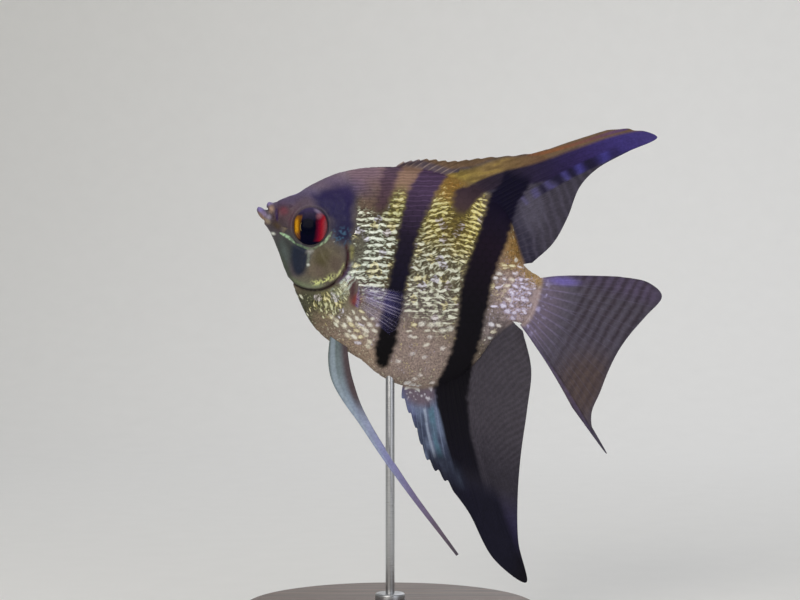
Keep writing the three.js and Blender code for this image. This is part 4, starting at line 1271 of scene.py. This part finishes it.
pectoral = {
    "cells": (260, 46), "spines": 11, "uneven": 0.22, "spiny": 1.1, "notch": 0,
    "ray": 0.2, "thin": 0.08, "thick": 0.15, "root": 0.16, "fillet": 1.2,
    "paint": paintPectoral, "clear": pectoralCover,
    "roots": [(25.3, -5.4, -9), (25.9, -5.4, -10.4), (26.4, -5.4, -11.8), (26.8, -5.4, -13),
              (27, -5.4, -14.2)],
    "tips": [(36.6, -8.6, -8), (39.8, -9.4, -9.6), (40.6, -9.7, -12.8), (39.8, -9.5, -15.9),
             (37.2, -8.8, -18.6)],
}

dorsalFin = makeFin("dorsalFin", dorsal, "dorsal_fin", "dorsal_fin")
analFin = makeFin("analFin", anal, "anal_fin", "anal_fin")
caudalFin = makeFin("caudalFin", caudal, "caudal_fin", "caudal_fin")
leftPelvic = makeFin("leftPelvic", pelvic, "pelvic_fin_left", "pelvic_fin")
rightPelvic = makeFin("rightPelvic", pelvic, "pelvic_fin_right", "pelvic_fin", mirror=True)
leftPectoral = makeFin("leftPectoral", pectoral, "pectoral_fin_left", "pectoral_fin")
rightPectoral = makeFin("rightPectoral", pectoral, "pectoral_fin_right", "pectoral_fin", mirror=True)


# The stand: a turned base, a collar and a rod, in mm.
stand = {
    "base": {"radius": 36, "low": 0, "high": 8, "edge": 2.1, "segments": 160},
    "collar": {"radius": 3.6, "low": 8.25, "high": 10.6, "edge": 0.5, "segments": 64},
    "rod": {"radius": 1.08, "low": 8, "high": 65, "edge": 0.1, "segments": 40},
}


def turned(name, node, slotName, radius, low, high, edge, segments):
    clearSelection()
    bpy.ops.mesh.primitive_cylinder_add(
        vertices=segments, radius=radius * oneMm, depth=(high - low) * oneMm,
        location=(0, 0, (high + low) / 2 * oneMm),
    )
    piece = bpy.context.object
    piece.name = name
    bpy.ops.object.transform_apply(location=True, rotation=True, scale=True)
    applyModifier(piece, "BEVEL", "Edge", width=edge * oneMm, segments=6, limit_method="ANGLE",
                  angle_limit=math.radians(60))
    return finishPiece(piece, slotName, node, crease=math.radians(40))


base = turned("standBase", "stand_base", "stand_wood", **stand["base"])
collar = turned("standCollar", "stand_collar", "stand_steel", **stand["collar"])
rod = turned("standRod", "stand_rod", "stand_steel", **stand["rod"])


# Materials. Their patterns are sized in millimetres on the object itself.
def newMaterial(name):
    # no nodes yet, but for the object's own coordinates in mm
    mat = bpy.data.materials.new(name)
    mat.use_nodes = True
    tree = mat.node_tree
    tree.nodes.clear()
    place = addNode(tree, "TexCoord").outputs["Object"]
    return mat, tree, addNode(tree, "Mapping", {"Vector": place, "Scale": [1 / oneMm] * 3})


# Surfaces painted by the attribute "tint". Ranges of four: what goes in, low and high, and what comes out.
paintedLooks = {
    # wet scaleless skin over silvery pigment cells: soft sheen, fine dark freckles, slight unevenness
    "fish skin, wet mucus coat": {
        "grain": 2.6, "mottle": (0.36, 0.66, 0.86, 1.12),
        "patches": 1.6, "rough": (0.3, 0.7, 0.36, 0.52), "bump": (0.3, 0.0001),
        "gloss": {"Specular IOR Level": 0.14, "Coat Weight": 0.06, "Coat Roughness": 0.25},
    },
    # membrane over horny rays: soft, slightly wet, its colour in fine streaks
    "fin membrane and rays": {
        "grain": 1.8, "mottle": (0.35, 0.65, 0.88, 1.12),
        "rough": (0.3, 0.7, 0.48, 0.62), "bump": (0.25, 0.00008),
        "gloss": {"Specular IOR Level": 0.09},
    },
    # the same, clear between hair-thin rays
    "clear fin membrane and rays": {
        "grain": 1.8, "mottle": (0.35, 0.65, 0.9, 1.1), "clear": "cover",
        "gloss": {"Roughness": 0.5, "Specular IOR Level": 0.1},
    },
    # glass-smooth cornea over a painted iris: small wet highlights, colour deep below them
    "eye, wet cornea over iris": {
        "grain": 2.8, "mottle": (0.35, 0.65, 0.84, 1.16), "rough": (0.3, 0.7, 0.2, 0.28),
        "gloss": {"Specular IOR Level": 0.02,
                  "Coat Weight": 0.03, "Coat Roughness": 0.04, "Coat IOR": 1.34},
    },
}


def paintedMaterial(name):
    look = paintedLooks[name]
    mat, tree, mm = newMaterial(name)
    noise = {"Vector": mm, "Scale": look["grain"], "Detail": 4.0, "Roughness": 0.6}
    fine = patches = addNode(tree, "TexNoise", noise)
    mottle = addNode(tree, "MapRange", [fine, *look["mottle"]])
    tint = addNode(tree, "Attribute", attribute_name="tint")
    surface = dict(look["gloss"])
    colours = {0: 1.0, 6: tint, 7: mottle}
    surface["Base Color"] = addNode(tree, "Mix", colours, data_type="RGBA", blend_type="MULTIPLY")
    if "patches" in look:
        patches = addNode(tree, "TexNoise", {"Vector": mm, "Scale": look["patches"]})
    if "rough" in look:
        surface["Roughness"] = addNode(tree, "MapRange", [patches, *look["rough"]])
    if "bump" in look:
        strength, depth = look["bump"]
        surface["Normal"] = addNode(tree, "Bump", {"Height": fine, "Strength": strength, "Distance": depth})
    if "clear" in look:
        surface["Alpha"] = addNode(tree, "Attribute", attribute_name=look["clear"]).outputs["Fac"]
    addNode(tree, "OutputMaterial", [addNode(tree, "BsdfPrincipled", surface)])
    return mat


skinMat, finMat, clearMat, eyeMat = (paintedMaterial(name) for name in paintedLooks)

# Bony scales backed with guanine: broken bright strokes of painted silver highlight run over several
# scales, dull between.
scaleMat, tree, mm = newMaterial("fish scale, guanine silver, painted highlights and shade")
tint, shine = (addNode(tree, "Attribute", attribute_name=name) for name in ("tint", "shine"))
shadow, strength = tint.outputs["Alpha"], shine.outputs["Alpha"]
flowing, oval, limits, plate, lines = (addNode(tree, "Attribute", attribute_name=name).outputs["Vector"]
                                       for name in ("flow", "oval", "limits", "plate", "lines"))
lowLimit, highLimit, inRows = addNode(tree, "SeparateXYZ", [limits]).outputs
onPlate, acrossPlate, edged = addNode(tree, "SeparateXYZ", [plate]).outputs
napeLined, backLined, mottled = addNode(tree, "SeparateXYZ", [lines]).outputs
# painted highlight strokes: rows 1.55 mm apart, broken up by long flecks
wander = addNode(tree, "TexNoise", {"Vector": flowing, "Scale": 0.42, "Detail": 0.8}).outputs["Color"]
bent = addNode(tree, "VectorMath", [wander, (0, 1.35, 0), flowing], operation="MULTIPLY_ADD")
calm = addNode(tree, "VectorMath", [wander, (0, 0, 0.9), mm], operation="MULTIPLY_ADD")
rows = addNode(tree, "TexWave", {"Vector": bent, "Scale": 0.2027}, bands_direction="Y").outputs["Fac"]
rows = addNode(tree, "MapRange", [rows, 0.26, 0.86])
stretched = addNode(tree, "VectorMath", [bent, (0.7, 1.3, 1)], operation="MULTIPLY")
flecks = addNode(tree, "TexNoise", {"Vector": stretched, "Scale": 1.0, "Detail": 0.7})
flecks = addNode(tree, "MapRange", [flecks, 0.3, 0.7])
woven = addNode(tree, "Mix", {0: inRows, 2: flecks, 3: rows})
strokes = addNode(tree, "MapRange", [woven, lowLimit, highLimit], interpolation_type="SMOOTHSTEP")
# short dim painted glints between the strokes
stretched = addNode(tree, "VectorMath", [bent, (1.1, 2.3, 1)], operation="MULTIPLY")
small = addNode(tree, "TexNoise", {"Vector": stretched, "Scale": 1.0, "Detail": 0.4})
small = addNode(tree, "MapRange", [small, 0.52, 0.64, 0, 2.2])
small = addNode(tree, "Math", [small, shadow], operation="MULTIPLY")
strokes = addNode(tree, "Math", [strokes, small], operation="MAXIMUM")
# single painted highlight ovals, one to a scale
lump = addNode(tree, "TexNoise", {"Vector": mm, "Scale": 1.5, "Detail": 2.0}).outputs["Color"]
ragged = addNode(tree, "VectorMath", [lump, (0.9, 0.9, 0.9), oval], operation="MULTIPLY_ADD")
centred = addNode(tree, "VectorMath", [ragged, (0.45, 0.45, 0.45)], operation="SUBTRACT")
away = addNode(tree, "VectorMath", [centred], operation="LENGTH").outputs["Value"]
ovals = addNode(tree, "MapRange", [away, 1.3, 0.45], interpolation_type="SMOOTHSTEP")
silver = addNode(tree, "Math", [strokes, ovals], operation="MAXIMUM")
# the painted highlights broken up a little by the scale's own grain, with single painted sparks
grain = addNode(tree, "TexNoise", {"Vector": mm, "Scale": 2.4, "Detail": 3.0, "Roughness": 0.6})
broken = addNode(tree, "MapRange", [grain, 0.34, 0.54, 0.72, 1])
silver = addNode(tree, "Math", [silver, broken], operation="MULTIPLY")
sparks = addNode(tree, "TexNoise", {"Vector": mm, "Scale": 1.7, "Detail": 2.0})
sparks = addNode(tree, "MapRange", [sparks, 0.6, 0.68, 0, 0.75])
sparks = addNode(tree, "Math", [sparks, mottled], operation="MULTIPLY")
silver = addNode(tree, "Math", [silver, sparks], operation="MAXIMUM")
silver = addNode(tree, "Math", [silver, strength], operation="MULTIPLY")
# between the strokes: mottled, darker at each plate's sides and free edge, and painted shade halfway
# between two strokes
aside = addNode(tree, "Math", [acrossPlate], operation="ABSOLUTE")
groove = addNode(tree, "MapRange", [aside, 0.5, 1.1, 0, 0.26])
edge = addNode(tree, "MapRange", [onPlate, 0.7, 1.15, 0, 0.22])
dark = addNode(tree, "Math", [groove, edge], operation="MAXIMUM")
dark = addNode(tree, "Math", [dark, edged], operation="MULTIPLY")
mottle = addNode(tree, "MapRange", [grain, 0.34, 0.66, -0.45, 0.55])
mottle = addNode(tree, "Math", [mottle, mottled, 1.0], operation="MULTIPLY_ADD")
dull = addNode(tree, "Math", [mottle, dark], operation="SUBTRACT")
# painted shade under each highlight stroke, its depth from the tint's alpha
below = addNode(tree, "Math", [lowLimit, woven], operation="SUBTRACT")
below = addNode(tree, "MapRange", [below, 0.03, 0.4])
below = addNode(tree, "Math", [below, shadow], operation="MULTIPLY")
dull = addNode(tree, "Math", [dull, below], operation="SUBTRACT")
# thin pale lines: 0.72 mm apart over the nape, 1.2 mm apart over the middle bar's top
for scale, share, shown in ((0.436, napeLined, (0.5, 1, 0, 0.4)), (0.262, backLined, (0.86, 1, 0, 0.7))):
    line = addNode(tree, "TexWave", {"Vector": calm, "Scale": scale}, bands_direction="Z").outputs["Fac"]
    line = addNode(tree, "MapRange", [line, *shown])
    line = addNode(tree, "Math", [line, share], operation="MULTIPLY")
    dull = addNode(tree, "Math", [dull, line], operation="ADD")
under = addNode(tree, "Mix", {0: 1.0, 6: tint, 7: dull}, data_type="RGBA", blend_type="MULTIPLY")
# a painted highlight stroke is deeper in colour along its soft rim than in its core
deep = addNode(tree, "Gamma", [shine, 2.1])
core = addNode(tree, "MapRange", [silver, 0.35, 0.8])
glint = addNode(tree, "Mix", {0: core, 6: deep, 7: shine}, data_type="RGBA")
colour = addNode(tree, "Mix", {0: silver, 6: under, 7: glint}, data_type="RGBA")
rough = addNode(tree, "MapRange", [silver, 0, 1, 0.55, 0.32])
metal = addNode(tree, "Math", [silver, 0.15], operation="MULTIPLY")
raised = addNode(tree, "Bump", {"Height": grain, "Strength": 0.25, "Distance": 0.0001})
addNode(tree, "OutputMaterial", [addNode(tree, "BsdfPrincipled", {
    "Base Color": colour, "Roughness": rough, "Metallic": metal, "Normal": raised,
    "Specular IOR Level": 0.1, "Coat Weight": 0.02, "Coat Roughness": 0.25,
})])

# Turned walnut, sanded and oiled: growth bands about 3 mm wide, fine open pores along the grain.
woodMat, tree, mm = newMaterial("walnut, turned and oiled")
board = addNode(tree, "Mapping", {"Vector": mm, "Scale": (0.018, 0.3, 0.19), "Location": (3, -2.4, -6.5)})
drift = addNode(tree, "Mapping", {"Vector": mm, "Scale": (0.03, 0.11, 0.11)})
grainwise = addNode(tree, "Mapping", {"Vector": mm, "Scale": (0.06, 2.6, 2.6)})
wave = {"Vector": board, "Scale": 0.36, "Distortion": 2.6, "Detail": 3.0, "Detail Scale": 1.4}
rings = addNode(tree, "TexWave", wave, wave_type="RINGS", rings_direction="X").outputs["Fac"]
streaky = addNode(tree, "TexNoise", {"Vector": drift, "Scale": 1.0})
fibres = addNode(tree, "TexNoise", {"Vector": grainwise, "Scale": 1.0, "Detail": 5.0, "Roughness": 0.6})
tone = addNode(tree, "Mix", {0: rings, 6: rgba("#402919"), 7: rgba("#664530")}, data_type="RGBA")
streaky = addNode(tree, "MapRange", [streaky, 0.35, 0.65, 0, 0.5])
tone = addNode(tree, "Mix", {0: streaky, 6: tone, 7: rgba("#54361f")}, data_type="RGBA")
pores = addNode(tree, "MapRange", [fibres, 0.34, 0.5, 0.62, 1.05])
tone = addNode(tree, "Mix", {0: 1.0, 6: tone, 7: pores}, data_type="RGBA", blend_type="MULTIPLY")
rough = addNode(tree, "MapRange", [fibres, 0.3, 0.7, 0.5, 0.36])
raised = addNode(tree, "Bump", {"Height": fibres, "Strength": 0.4, "Distance": 0.00012})
addNode(tree, "OutputMaterial", [addNode(tree, "BsdfPrincipled", {
    "Base Color": tone, "Roughness": rough, "Normal": raised, "Coat Weight": 0.2, "Coat Roughness": 0.25,
})])

# Brushed stainless steel: grey metal with fine lines round the turned parts, drawn 0.2 mm apart to show.
steelMat, tree, mm = newMaterial("stainless steel, brushed")
turning = addNode(tree, "Mapping", {"Vector": mm, "Scale": (0.5, 0.5, 5)})
lines = addNode(tree, "TexNoise", {"Vector": turning, "Scale": 1.0, "Detail": 3.0, "Roughness": 0.6})
tone = addNode(tree, "Mix", {0: lines, 6: rgba("#a5a6a8"), 7: rgba("#c6c7c8")}, data_type="RGBA")
rough = addNode(tree, "MapRange", [lines, 0.3, 0.7, 0.26, 0.42])
raised = addNode(tree, "Bump", {"Height": lines, "Strength": 0.2, "Distance": 0.00005})
addNode(tree, "OutputMaterial", [addNode(tree, "BsdfPrincipled", {
    "Base Color": tone, "Metallic": 1.0, "Roughness": rough, "Normal": raised,
})])

for mat, pieces in (
    (skinMat, [skin]), (scaleMat, [leftCoat, rightCoat]), (eyeMat, [leftEye, rightEye]),
    (finMat, [dorsalFin, analFin, caudalFin, leftPelvic, rightPelvic]),
    (clearMat, [leftPectoral, rightPectoral]), (woodMat, [base]), (steelMat, [collar, rod]),
):
    for piece in pieces:
        piece.data.materials.clear()
        piece.data.materials.append(mat)
print("materials ready")


# Stage, light and camera.
studio = {
    "paper": ("#ecebe7", "#f0efeb"), "world": ("#eef0f2", 0.3),
    "sweep": {"halfWidth": 1.6, "front": -1.4, "floor": 1.9, "bend": 0.35, "length": 2.6, "drop": 0.0001},
    "lights": (
        # name, place, size, watts, colour
        ("Key", (-0.36, -0.72, 0.42), 0.5, 3.6, "#fffaf2"),
        ("Fill", (0.62, -0.7, 0.22), 0.6, 1.5, "#f2f5ff"),
        ("Top", (0.05, -0.05, 0.85), 0.6, 1.2, "#ffffff"),
        ("Back", (0.2, 0.7, 0.6), 0.6, 2.2, "#f4f6ff"),
    ),
    "aim": (0.02, 0.0, 0.08),
    "camera": (0.00238, -0.4533, 0.08086), "lens": 85, "sensor": 36, "nearest": 0.01,
}

# a sheet of paper that runs back along the floor and curves up behind the fish
sweep = studio["sweep"]
backdrop = newGrid("backdrop", 8, 60)
p = coords(backdrop)
run = (p[:, 1] + 1) / 2 * sweep["length"]
curve = np.clip((run - sweep["floor"]) / sweep["bend"], 0, math.pi / 2)
y = np.minimum(run, sweep["floor"]) + sweep["bend"] * np.sin(curve) + sweep["front"]
wall = np.maximum(run - sweep["floor"] - sweep["bend"] * math.pi / 2, 0)
z = sweep["bend"] * (1 - np.cos(curve)) + wall - sweep["drop"]
setCoords(backdrop, np.stack([p[:, 0] * sweep["halfWidth"], y, z], 1))
smoothShade(backdrop)
paperMat, tree, mm = newMaterial("matt studio paper")
clouds = addNode(tree, "TexNoise", {"Vector": mm, "Scale": 0.09, "Detail": 3.0})
dim, bright = (rgba(colour) for colour in studio["paper"])
tone = addNode(tree, "Mix", {0: clouds, 6: dim, 7: bright}, data_type="RGBA")
addNode(tree, "OutputMaterial", [addNode(tree, "BsdfPrincipled", {
    "Base Color": tone, "Roughness": 0.85, "Specular IOR Level": 0.2,
})])
backdrop.data.materials.append(paperMat)

world = bpy.data.worlds.new("studio")
bpy.context.scene.world = world
world.use_nodes = True
sky = world.node_tree.nodes["Background"].inputs
sky["Color"].default_value, sky["Strength"].default_value = rgba(studio["world"][0]), studio["world"][1]

for name, place, size, watts, colour in studio["lights"]:
    clearSelection()
    bpy.ops.object.light_add(type="AREA", location=place)
    lamp = bpy.context.object
    lamp.name = name
    lamp.data.size = size
    lamp.data.energy = watts
    lamp.data.color = tuple(linear(colour))
    east, north, up = np.array(studio["aim"]) - np.array(place)
    tilt, heading = math.atan2(math.hypot(east, north), -up), math.atan2(north, east)
    lamp.rotation_euler = (tilt, 0, heading - math.pi / 2)

clearSelection()
bpy.ops.object.camera_add(location=studio["camera"], rotation=(math.pi / 2, 0, 0))
camera = bpy.context.object
camera.data.lens = studio["lens"]
camera.data.sensor_width = studio["sensor"]
camera.data.clip_start = studio["nearest"]
bpy.context.scene.camera = camera
bpy.context.scene.view_settings.view_transform = "Standard"
print("stage ready")
